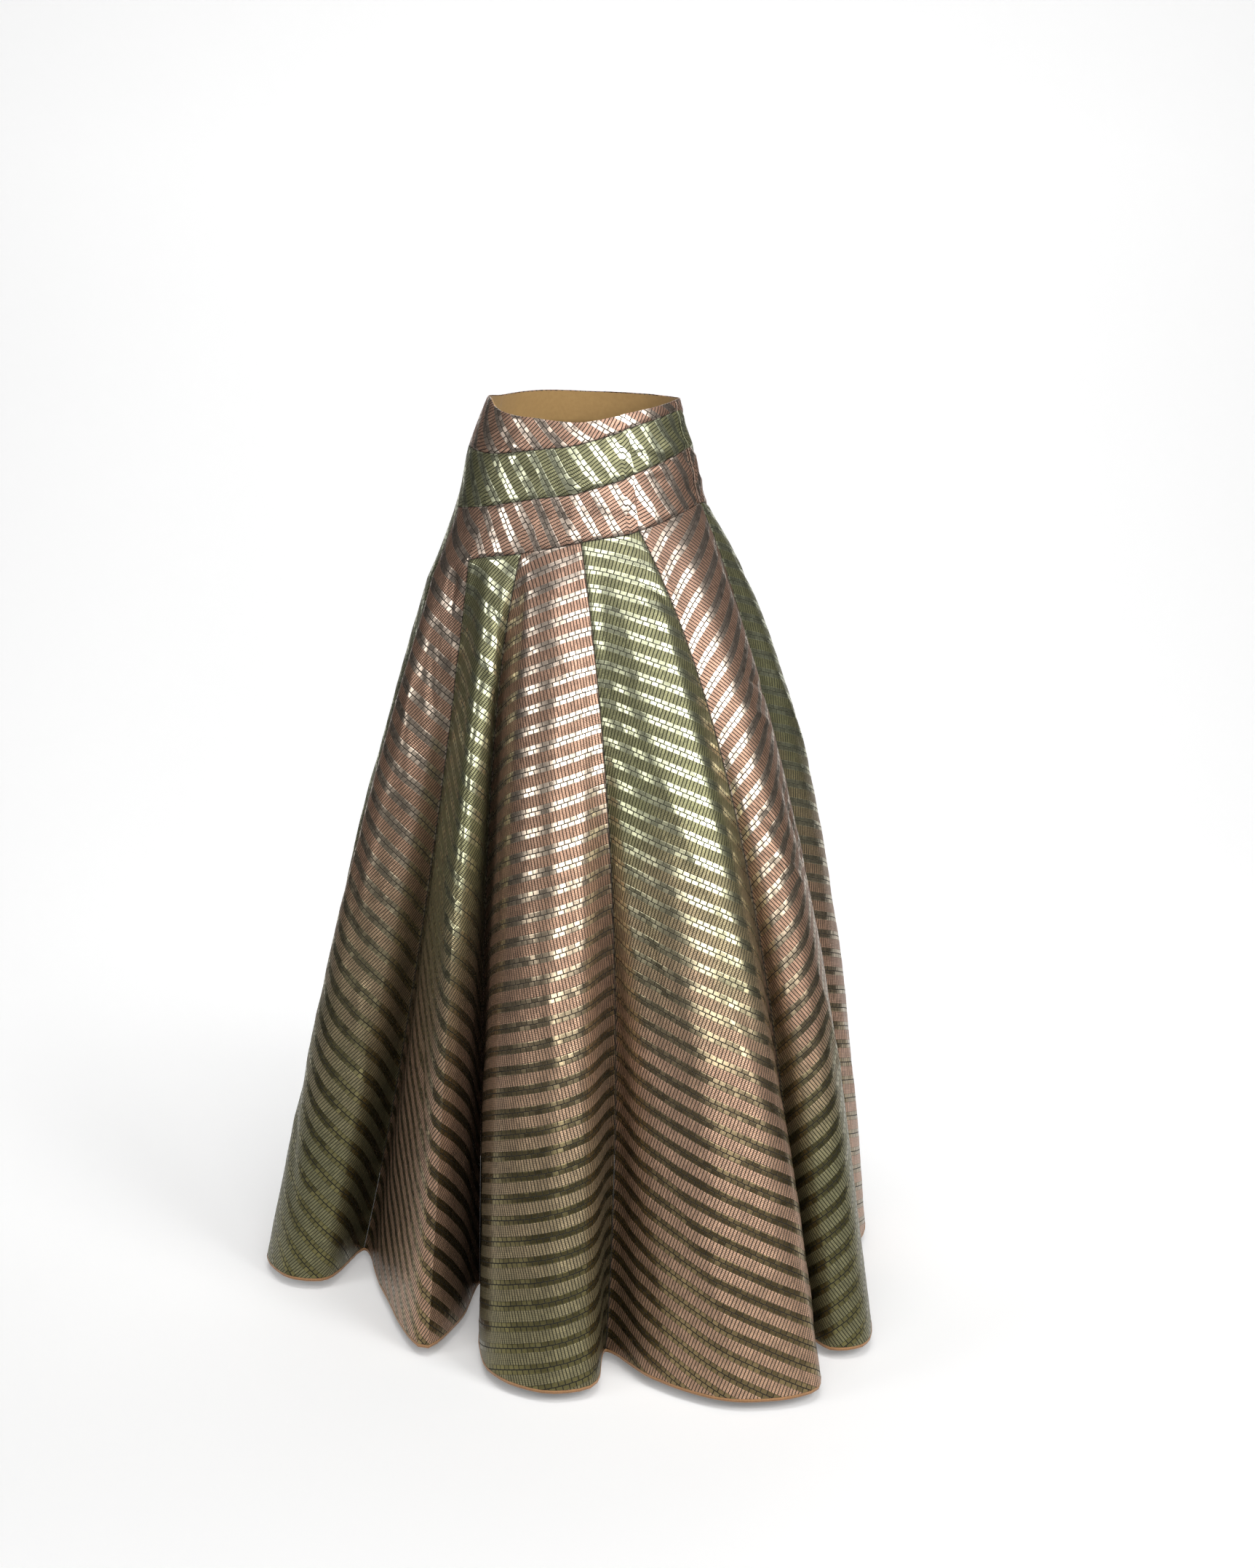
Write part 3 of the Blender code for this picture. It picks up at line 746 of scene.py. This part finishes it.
class Net:
    """Short names for wiring math nodes together."""

    def __init__(self, tree):
        self.t = tree

    def put(self, socket, value):
        if isinstance(value, (int, float)):
            socket.default_value = value
        elif isinstance(value, tuple):
            socket.default_value = value if len(value) == 4 or socket.type == "VECTOR" else (*value, 1)
        else:
            self.t.links.new(value, socket)

    def math(self, op, a, b=0.0, c=0.0):
        n = self.t.nodes.new("ShaderNodeMath")
        n.operation = op
        for s, v in zip(n.inputs, (a, b, c)):
            self.put(s, v)
        return n.outputs[0]

    def mix(self, f, a, b):
        n = self.t.nodes.new("ShaderNodeMix")
        n.data_type = "FLOAT"
        self.put(n.inputs[0], f)
        self.put(n.inputs[2], a)
        self.put(n.inputs[3], b)
        return n.outputs[0]

    def colour(self, f, a, b, kind="MIX"):
        n = self.t.nodes.new("ShaderNodeMix")
        n.data_type = "RGBA"
        n.blend_type = kind
        n.clamp_factor = True
        self.put(n.inputs[0], f)
        self.put(n.inputs[6], a)
        self.put(n.inputs[7], b)
        return n.outputs[2]

    def ramp(self, v, lo, hi, a=0.0, b=1.0):
        n = self.t.nodes.new("ShaderNodeMapRange")
        n.interpolation_type = "SMOOTHSTEP"
        for s, x in zip(n.inputs[:5], (v, lo, hi, a, b)):
            self.put(s, x)
        return n.outputs[0]

    def vector(self, x, y, z=0.0):
        n = self.t.nodes.new("ShaderNodeCombineXYZ")
        for s, v in zip(n.inputs, (x, y, z)):
            self.put(s, v)
        return n.outputs[0]

    def noise(self, vec, scale, detail=2.0, rough=0.5):
        n = self.t.nodes.new("ShaderNodeTexNoise")
        self.put(n.inputs["Vector"], vec)
        n.inputs["Scale"].default_value = scale
        n.inputs["Detail"].default_value = detail
        n.inputs["Roughness"].default_value = rough
        return n.outputs[0]

    def chance(self, vec):
        n = self.t.nodes.new("ShaderNodeTexWhiteNoise")
        n.noise_dimensions = "3D"
        self.put(n.inputs["Vector"], vec)
        s = self.t.nodes.new("ShaderNodeSeparateColor")
        self.t.links.new(n.outputs[1], s.inputs[0])
        return n.outputs[0], s.outputs[0], s.outputs[1]

    def along(self, base, axis, amount):
        """base moved along axis by amount."""
        n = self.t.nodes.new("ShaderNodeVectorMath")
        n.operation = "MULTIPLY_ADD"
        self.t.links.new(axis, n.inputs[0])
        self.put(n.inputs[1], self.vector(amount, amount, amount))
        self.t.links.new(base, n.inputs[2])
        return n.outputs[0]

    def bump(self, height, strength=1.0, distance=1.0, normal=None):
        n = self.t.nodes.new("ShaderNodeBump")
        n.inputs["Strength"].default_value = strength
        n.inputs["Distance"].default_value = distance
        self.put(n.inputs["Height"], height)
        if normal is not None:
            self.t.links.new(normal, n.inputs["Normal"])
        return n.outputs[0]


STRIP = 0.0245          # one strip of the weave across
BRICK = 0.0082          # one brick along the strip
BRICK_ROW = 0.228       # share of a strip that each brick row takes

BRICK_ROSE = (0.83, 0.68, 0.56)
BRICK_GREEN = (0.76, 0.77, 0.53)
BAR_ROSE = (0.56, 0.340, 0.240)
BAR_GREEN = (0.325, 0.315, 0.168)
LINE_ROSE = (0.030, 0.023, 0.017)
LINE_GREEN = (0.022, 0.024, 0.012)


def weave(name, seed):
    """Metallic strips: foil bricks along both edges, ribbed bars between."""
    m, nodes, links, out = new_material(name)
    g = Net(m.node_tree)
    uv = nodes.new("ShaderNodeUVMap")
    uv.uv_map = "UVMap"
    sep = nodes.new("ShaderNodeSeparateXYZ")
    links.new(uv.outputs[0], sep.inputs[0])
    obj = nodes.new("ShaderNodeTexCoord").outputs["Object"]
    green = nodes.new("ShaderNodeAttribute")
    green.attribute_name = "green"
    gr = green.outputs["Fac"]

    sway = g.math("SUBTRACT", g.noise(uv.outputs[0], 14.0, 2.0), 0.5)
    a = g.math("ADD", sep.outputs[0], g.math("MULTIPLY", sway, 0.0030))
    b = g.math("ADD", sep.outputs[1], g.math("MULTIPLY", sway, 0.0022))
    bp = g.math("DIVIDE", b, STRIP)
    k = g.math("FLOOR", bp)
    e = g.math("ABSOLUTE", g.math("SUBTRACT", g.math("SUBTRACT", bp, k), 0.5))     # 0.5 at the strip's edges
    upper = g.math("GREATER_THAN", g.math("SUBTRACT", bp, k), 0.5)
    brick = g.math("GREATER_THAN", e, 0.5 - BRICK_ROW)
    al = g.math("ADD", g.math("DIVIDE", a, BRICK), g.math("MULTIPLY", g.math("FLOORED_MODULO", k, 2.0), 0.5))
    cells = g.math("MULTIPLY", al, g.mix(brick, 2.0, 1.0))
    cell = g.math("FLOOR", cells)
    fa = g.math("SUBTRACT", cells, cell)
    length = g.mix(brick, BRICK / 2, BRICK)
    da = g.math("MULTIPLY", g.math("SUBTRACT", 0.5, g.math("ABSOLUTE", g.math("SUBTRACT", fa, 0.5))), length)
    to_edge = g.math("MULTIPLY", g.math("SUBTRACT", 0.5, e), STRIP)
    to_zone = g.math("MULTIPLY", g.math("ABSOLUTE", g.math("SUBTRACT", e, 0.5 - BRICK_ROW)), STRIP)
    line = g.math("MINIMUM", da, to_edge)
    gap = g.math("SUBTRACT", 1.0, g.ramp(line, 0.00042, 0.00078))
    side = g.math("MULTIPLY", g.math("SUBTRACT", 1.0, g.ramp(to_zone, 0.00005, 0.00045)), 0.45)
    dark = g.math("MAXIMUM", gap, side)

    r0, r1, r2 = g.chance(g.vector(cell, g.math("ADD", g.math("MULTIPLY", k, 2.0), upper),
                                   g.math("ADD", g.math("MULTIPLY", brick, 3.0), float(seed))))
    pillow = g.ramp(g.math("MINIMUM", line, to_zone), 0.0001, 0.0008)
    lean = g.mix(brick, 0.04, 0.068)
    lean_a = g.math("MULTIPLY", g.math("SUBTRACT", r1, 0.5), lean)
    lean_b = g.math("MULTIPLY", g.math("SUBTRACT", r2, 0.5), lean)
    tangent = nodes.new("ShaderNodeTangent")
    tangent.direction_type = "UV_MAP"
    tangent.uv_map = "UVMap"
    facing = nodes.new("ShaderNodeNewGeometry").outputs["Normal"]
    cross = nodes.new("ShaderNodeVectorMath")
    cross.operation = "CROSS_PRODUCT"
    links.new(facing, cross.inputs[0])
    links.new(tangent.outputs[0], cross.inputs[1])
    leaning = g.along(g.along(facing, tangent.outputs[0], lean_a), cross.outputs[0], lean_b)
    rib = g.math("MULTIPLY", g.math("SINE", g.math("MULTIPLY", b, 2 * math.pi / 0.0021)), g.mix(brick, 0.00007, 0.0))
    slub = g.math("MULTIPLY", g.math("SUBTRACT", g.noise(uv.outputs[0], 240.0, 3.0, 0.6), 0.5), g.mix(brick, 0.00005, 0.000012))
    height = g.math("MULTIPLY", pillow, g.math("ADD", g.math("ADD", rib, 0.00009), slub))

    tone_brick = g.colour(gr, BRICK_ROSE, BRICK_GREEN)
    tone_bar = g.colour(gr, BAR_ROSE, BAR_GREEN)
    tone = g.colour(brick, tone_bar, tone_brick)
    vary = g.mix(r0, 0.80, 1.12)
    cloud = g.mix(g.noise(obj, 6.0, 3.0), 0.84, 1.14)
    shade = g.math("MULTIPLY", vary, cloud)
    tone = g.colour(1.0, tone, g.vector(shade, shade, shade), "MULTIPLY")
    ribdark = g.mix(g.math("MULTIPLY", g.math("SUBTRACT", 1.0, brick),
                           g.ramp(g.math("SINE", g.math("MULTIPLY", b, 2 * math.pi / 0.0021)), -1.0, -0.2, 1.0, 0.0)), 1.0, 0.62)
    tone = g.colour(1.0, tone, g.vector(ribdark, ribdark, ribdark), "MULTIPLY")
    tone = g.colour(dark, tone, g.colour(gr, LINE_ROSE, LINE_GREEN))
    low = nodes.new("ShaderNodeAttribute")
    low.attribute_name = "low"
    hem_shade_share = g.math("MULTIPLY", g.ramp(low.outputs["Fac"], 0.30, 1.0), g.mix(gr, 0.17, 0.50))
    hem_shade = g.math("SUBTRACT", 1.0, hem_shade_share)                          # painted shade: the cloth darkens towards the hem, where less light falls
    tone = g.colour(1.0, tone, g.vector(hem_shade, hem_shade, g.math("MULTIPLY", hem_shade, g.mix(low.outputs["Fac"], 1.0, 0.84))),
                    "MULTIPLY")
    hem_light_and_shade = g.mix(brick, g.ramp(low.outputs["Fac"], 0.25, 0.90, 1.0, 1.26),
                g.ramp(low.outputs["Fac"], 0.26, 0.85, 1.0, 0.38))                # painted shade and light: low down the foil bricks are painted darker and the bars lighter
    tone = g.colour(1.0, tone, g.vector(hem_light_and_shade, g.math("POWER", hem_light_and_shade, 1.10), g.math("POWER", hem_light_and_shade, 1.45)), "MULTIPLY")
    valley = nodes.new("ShaderNodeAttribute")
    valley.attribute_name = "hollow"
    shut = g.ramp(valley.outputs["Fac"], 0.015, 0.100, 1.0, 0.72)     # less light gets into the valleys
    tone = g.colour(1.0, tone, g.vector(shut, shut, shut), "MULTIPLY")
    near = nodes.new("ShaderNodeAttribute")
    near.attribute_name = "seam"
    by_seam = g.ramp(near.outputs["Fac"], 0.15, 0.95)
    # painted shade: the tone darkens right along each seam, where shadow falls
    seam_shadow = g.mix(by_seam, 1.0, 0.22)
    tone = g.colour(1.0, tone, g.vector(seam_shadow, seam_shadow, seam_shadow), "MULTIPLY")
    links.new(tone, out.inputs["Base Color"])
    dull = g.math("MAXIMUM", dark, by_seam)
    links.new(g.mix(dull, g.mix(brick, 0.62, 0.94), 0.30), out.inputs["Metallic"])
    rough = g.mix(brick, 0.38, g.mix(r2, 0.26, 0.32))
    links.new(g.mix(dull, rough, 0.70), out.inputs["Roughness"])
    links.new(g.bump(height, normal=leaning), out.inputs["Normal"])
    return m


def cloth(name, base, deep, pitch, rough, height):
    """Plain woven or ribbed cloth from two crossed waves and a slub."""
    m, nodes, links, out = new_material(name)
    g = Net(m.node_tree)
    uv = nodes.new("ShaderNodeUVMap")
    uv.uv_map = "UVMap"
    sep = nodes.new("ShaderNodeSeparateXYZ")
    links.new(uv.outputs[0], sep.inputs[0])
    wa = g.math("SINE", g.math("MULTIPLY", sep.outputs[0], 2 * math.pi / pitch[0]))
    wb = g.math("SINE", g.math("MULTIPLY", sep.outputs[1], 2 * math.pi / pitch[1]))
    weft = g.math("MULTIPLY", g.math("ADD", wa, wb), 0.25)
    slub = g.noise(uv.outputs[0], 180.0, 3.0, 0.6)
    h = g.math("ADD", g.math("ADD", weft, 0.5), g.math("MULTIPLY", slub, 0.6))
    links.new(g.colour(g.ramp(h, 0.25, 1.2), deep, base), out.inputs["Base Color"])
    out.inputs["Roughness"].default_value = rough
    out.inputs["Sheen Weight"].default_value = 0.25
    links.new(g.bump(g.math("MULTIPLY", h, height)), out.inputs["Normal"])
    return m


# ---------------------------------------------------------------- the smaller pieces
def tube_mesh(name, rings, uvs, mat, closed=True):
    """A closed body from rings of points, all the same length, joined round."""
    n, m = len(rings), len(rings[0])
    verts = np.concatenate(rings)
    faces, loops = [], []
    for i in range(n):
        for j in range(m if closed else m - 1):
            q = [(i, j), ((i + 1) % n, j), ((i + 1) % n, (j + 1) % m), (i, (j + 1) % m)]
            faces.append([(a % n) * m + (b % m) for a, b in q])
            u1 = j + 1
            i1 = i + 1
            loops += [uvs(i, j), uvs(i1, j), uvs(i1, u1), uvs(i, u1)]
    if not closed:
        faces.append([i * m for i in range(n)][::-1])
        faces.append([i * m + m - 1 for i in range(n)])
        loops += [uvs(i, 0) for i in range(n)][::-1] + [uvs(i, m - 1) for i in range(n)]
    me = bpy.data.meshes.new(name)
    me.from_pydata([tuple(map(float, v)) for v in verts], [], faces)
    layer = me.uv_layers.new(name="UVMap")
    layer.data.foreach_set("uv", np.array(loops, dtype=np.float32).ravel())
    me.update()
    me.shade_smooth()
    me.set_sharp_from_angle(angle=math.radians(60))
    me.materials.append(mat)
    ob = bpy.data.objects.new(name, me)
    bpy.context.scene.collection.objects.link(ob)
    return ob


def flip_if_inward(ob):
    """Turn the faces outward."""
    import bmesh
    bm = bmesh.new()
    bm.from_mesh(ob.data)
    if bm.calc_volume(signed=True) < 0:
        bmesh.ops.reverse_faces(bm, faces=bm.faces[:])
        bm.to_mesh(ob.data)
    bm.free()
    return ob


def waist_facing(mat):
    cols = 360
    u = np.arange(cols) * GORES / cols
    top = smooth_table(YOKE, u, 1, GORES) - 0.0012
    a = u * (2 * math.pi / GORES)
    rings = []
    outer, inner = 0.0027, 0.0037
    steps = [(outer, 0.0), (outer, 0.012), (outer, 0.024), (outer, 0.036), (outer + 0.0001, 0.045),
             (inner, 0.0448), (inner, 0.036), (inner, 0.024), (inner, 0.012), (inner - 0.0002, 0.0)]
    for off, down in steps:
        wave = 0.0006 * np.sin(a * 9 + 1.3) * (down / 0.045) + 0.0004 * np.sin(a * 23) * (down / 0.045)
        z = top - down - 0.0008 * np.sin(a * 5 + 0.7) * (down / 0.045)
        x, y = body(hip_deg(u), z)
        p = np.stack([x, y, z], 1)
        t = unit(np.roll(p, -1, axis=0) - np.roll(p, 1, axis=0))
        n = unit(np.stack([t[:, 1], -t[:, 0], 0 * t[:, 0]], 1))
        rings.append(p - n * (off / 0.93 + np.maximum(wave, 0))[:, None])
    fall = [d for _, d in steps]
    return flip_if_inward(tube_mesh("facing_waist", rings,
                                    lambda i, j: (j * 0.67 / cols, fall[i % len(fall)]), mat))


def hem_binding(mat):
    p = TOP[ROWS].copy()
    t = unit(np.roll(p, -3, axis=0) - np.roll(p, 3, axis=0))
    n = np.stack([t[:, 1], -t[:, 0], 0 * t[:, 0]], 1)
    mid = p - n * WALL / 2
    run = np.concatenate([[0], np.cumsum(np.linalg.norm(np.roll(p, -1, axis=0) - p, axis=1))])
    lo, hi = HEM_Z, HEM_Z + BINDING_H
    wob = 0.00022 * np.sin(run[:-1] * 310) + 0.0002 * value_noise(run[:-1] * 60, run[:-1] * 0, 5)
    rings = []
    for off, z in ((0.9, hi), (1.15, hi - 0.0011), (1.1, lo + 0.0009), (0.55, lo),
                   (-0.55, lo), (-1.1, lo + 0.0009), (-1.15, hi - 0.0011), (-0.9, hi)):
        q = mid + n * (off * 0.0011 + np.sign(off) * wob)[:, None]
        q[:, 2] = z
        rings.append(q)
    return flip_if_inward(tube_mesh("binding_hem", rings, lambda i, j: (float(run[j]), i * 0.0012), mat))


def side_placket(mat):
    c = 6 * NC
    cols = [(c + k) % COLS for k in range(-4, 6)]
    rows = list(range(0, YR + 1))
    top, bot = [], []
    for q, j in enumerate(cols):
        f = q / (len(cols) - 1)
        ridge = 0.0016 * math.exp(-((f - 0.45) / 0.30)**2)
        puck = value_noise(-Z[:, j] * 58, np.full(ROWS + 1, f * 2.2), 9)
        h = 0.0010 + ridge * (0.75 + 0.5 * puck) + 0.0003 * np.maximum(puck, 0)
        pt, pb = [], []
        for i in rows:
            base = TOP[i, j].copy()
            if i == 0:
                base[2] -= 0.0008
            n = N[i, c]
            pb.append(base + n * 0.0012)
            pt.append(base + n * (0.0012 + h[i]))
        top.append(pt)
        bot.append(pb)
    # rings go round the strip's section: outer side left to right, inner side back
    section = [np.array(t) for t in top] + [np.array(b) for b in bot[::-1]]
    n = len(cols)
    across = [0.0]
    for a, b in zip(top[:-1], top[1:]):
        across.append(across[-1] + float(np.mean(np.linalg.norm(np.array(b) - np.array(a), axis=1))))
    across += [2 * across[-1] - x for x in across[::-1]]

    def flat(i, j):
        x, y = across[i % len(across)], float(FALL[rows[min(j, len(rows) - 1)], c])
        return 0.62 * x - 0.78 * y, 0.78 * x + 0.62 * y

    ob = tube_mesh("placket_side", section, flat, mat, closed=False)
    share = np.tile(np.where((np.array(rows) >= BR) & (np.array(rows) < 2 * BR), 1.0, 0.0), len(section))
    att = ob.data.attributes.new("green", "FLOAT", "POINT")
    att.data.foreach_set("value", np.resize(share, len(ob.data.vertices)).astype(np.float32))
    return flip_if_inward(ob)


# ---------------------------------------------------------------- build everything
rose = weave("rose_weave", 1)
green = weave("green_weave", 2)
g_to_r = weave("green_to_rose_weave", 3)
r_to_g = weave("rose_to_green_weave", 4)
lap = weave("placket_weave", 5)
cotton = cloth("facing_cotton", (0.61, 0.385, 0.150), (0.43, 0.25, 0.085), (0.0009, 0.0009), 0.85, 0.00012)
tape = cloth("binding_tape", (0.42, 0.215, 0.085), (0.20, 0.095, 0.036), (0.0016, 0.0030), 0.70, 0.00016)

LAYOUT = {"band_a_front": [(0, BR, 0, 6 * NC) + band_flat(0, 6 * NC, 0, BR)],
          "band_a_back": [(0, BR, 6 * NC, 12 * NC) + band_flat(6 * NC, 12 * NC, 0, BR)],
          "panel_b_gore_0": [(BR, 2 * BR, NC, 6 * NC) + band_flat(NC, 6 * NC, BR, 2 * BR, -1.3),
                             (BR, ROWS, 0, NC) + turned(gore_flat(0, 1.0, BR), NC, BR, 2 * BR)],
          "band_b_back": [(BR, 2 * BR, 6 * NC, 12 * NC) + band_flat(6 * NC, 12 * NC, BR, 2 * BR)],
          "panel_c_gore_1": [(2 * BR, YR, 2 * NC, 6 * NC) + band_flat(2 * NC, 6 * NC, 2 * BR, YR, -0.7),
                             (2 * BR, ROWS, NC, 2 * NC) + turned(gore_flat(1, 1.0, 2 * BR), 2 * NC, 2 * BR, YR)],
          "band_c_back": [(2 * BR, YR, 6 * NC, 12 * NC) + band_flat(6 * NC, 12 * NC, 2 * BR, YR)]}
for k in range(2, GORES):
    LAYOUT["gore_%d" % k] = [(YR, ROWS, k * NC, (k + 1) * NC) + gore_flat(k, 0.5, YR)]

MATERIAL = {"band_a_front": rose, "band_a_back": rose, "band_c_back": rose, "band_b_back": green,
            "panel_b_gore_0": g_to_r, "panel_c_gore_1": r_to_g}
made = {}
for name, blocks in LAYOUT.items():
    mat = MATERIAL.get(name) or (g_to_r if int(name.split("_")[1]) % 2 == 0 else r_to_g)
    made[name] = shell(name, blocks, mat)
facing = waist_facing(cotton)
binding = hem_binding(tape)
placket = side_placket(lap)
for key, share in (("low", 0.0), ("seam", 0.0), ("hollow", 0.0)):
    att = placket.data.attributes.new(key, "FLOAT", "POINT")
    att.data.foreach_set("value", np.full(len(placket.data.vertices), share, dtype=np.float32))

for name, (ob, area) in made.items():
    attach(ob, "root")
    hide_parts(name)
for ob, node, slot in ((facing, "waist_facing", "facing_cotton"), (binding, "hem_binding", "binding_tape"),
                       (placket, "side_placket", "placket_weave")):
    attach(ob, "root")
    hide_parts(node)


# ---------------------------------------------------------------- floor, light and camera
def plain(name, colour, rough):
    m, _, _, out = new_material(name)
    out.inputs["Base Color"].default_value = (*colour, 1)
    out.inputs["Roughness"].default_value = rough
    return m


def studio_sweep():
    """Pale floor that curves up into a backdrop, glowing with painted light round the skirt and behind it."""
    prof = [(-9.0, FLOOR_Z), (2.2, FLOOR_Z)]
    for k in range(1, 13):
        a = math.radians(90 * k / 12)
        prof.append((2.2 + 1.6 * math.sin(a), FLOOR_Z + 1.6 * (1 - math.cos(a))))
    prof.append((3.8, 5.0))
    verts, faces = [], []
    for y, z in prof:
        verts += [(-9.0, y, z), (9.0, y, z)]
    for k in range(len(prof) - 1):
        faces.append([2 * k, 2 * k + 1, 2 * k + 3, 2 * k + 2])
    me = bpy.data.meshes.new("studio_sweep")
    me.from_pydata(verts, [], faces)
    me.shade_smooth()
    paper, nodes, links, out = new_material("glowing_paper")
    out.inputs["Roughness"].default_value = 0.9
    g = Net(paper.node_tree)
    pos = nodes.new("ShaderNodeSeparateXYZ")
    links.new(nodes.new("ShaderNodeTexCoord").outputs["Object"], pos.inputs[0])
    # painted light: the paper glows round the skirt and behind it; in front, where the room is dark, it is painted
    # dark
    x2 = g.math("POWER", pos.outputs[0], 2.0)
    ahead = g.math("MINIMUM", pos.outputs[1], 0.0)
    reach = g.math("SQRT", g.math("ADD", x2, g.math("POWER", ahead, 2.0)))
    wide = g.ramp(pos.outputs[1], -0.2, 3.8, 0.0, 1.0)
    lit = g.ramp(g.math("SUBTRACT", reach, wide), 1.12, 1.40, 1.0, 0.0)
    links.new(g.colour(lit, (0.06, 0.06, 0.06), (0.90, 0.90, 0.90)), out.inputs["Base Color"])
    out.inputs["Emission Color"].default_value = (1.0, 1.0, 1.0, 1)
    links.new(g.math("MULTIPLY", lit, g.ramp(pos.outputs[1], -0.8, 1.2, 0.13, 0.50)), out.inputs["Emission Strength"])
    me.materials.append(paper)
    ob = bpy.data.objects.new("studio_sweep", me)
    bpy.context.scene.collection.objects.link(ob)
    return ob


def area_light(name, place, aim, size, power, colour=(1, 1, 1)):
    from mathutils import Vector
    d = bpy.data.lights.new(name, "AREA")
    d.shape = "RECTANGLE"
    d.size, d.size_y = size
    d.energy = power
    d.color = colour
    ob = bpy.data.objects.new(name, d)
    ob.location = place
    ob.rotation_euler = (Vector(aim) - Vector(place)).to_track_quat("-Z", "Y").to_euler()
    bpy.context.scene.collection.objects.link(ob)
    return ob


studio_sweep()
area_light("key", (0.50, -3.4, 0.84), (0.0, 0.0, -0.30), (1.45, 1.6), 34)
area_light("key_high", (0.0, -2.9, 1.95), (0.0, 0.0, -0.20), (1.7, 1.0), 16)
area_light("key_right", (2.2, -2.25, 1.35), (0.1, 0.0, -0.20), (1.2, 2.2), 64)
area_light("fill_left", (-2.85, -1.75, 0.85), (0.0, 0.0, -0.25), (1.2, 1.1), 19)
area_light("top", (0.0, -1.0, 3.3), (0.0, 0.0, -0.50), (2.4, 1.6), 58)

world = bpy.data.worlds.new("studio")
world.use_nodes = True
world.node_tree.nodes["Background"].inputs[0].default_value = (1.0, 1.0, 1.0, 1)
world.node_tree.nodes["Background"].inputs[1].default_value = 0.035
bpy.context.scene.world = world
bpy.context.scene.view_settings.view_transform = "Standard"
bpy.context.scene.view_settings.look = "None"

cam_data = bpy.data.cameras.new("camera")
cam_data.lens = 54.9
cam_data.sensor_width = 36.0
cam = bpy.data.objects.new("camera", cam_data)
cam.location = (0.054, -3.06, 0.18)
cam.rotation_euler = (math.radians(90 - 12.5), 0.0, 0.0)
bpy.context.scene.collection.objects.link(cam)
bpy.context.scene.camera = cam

bpy.context.view_layer.update()
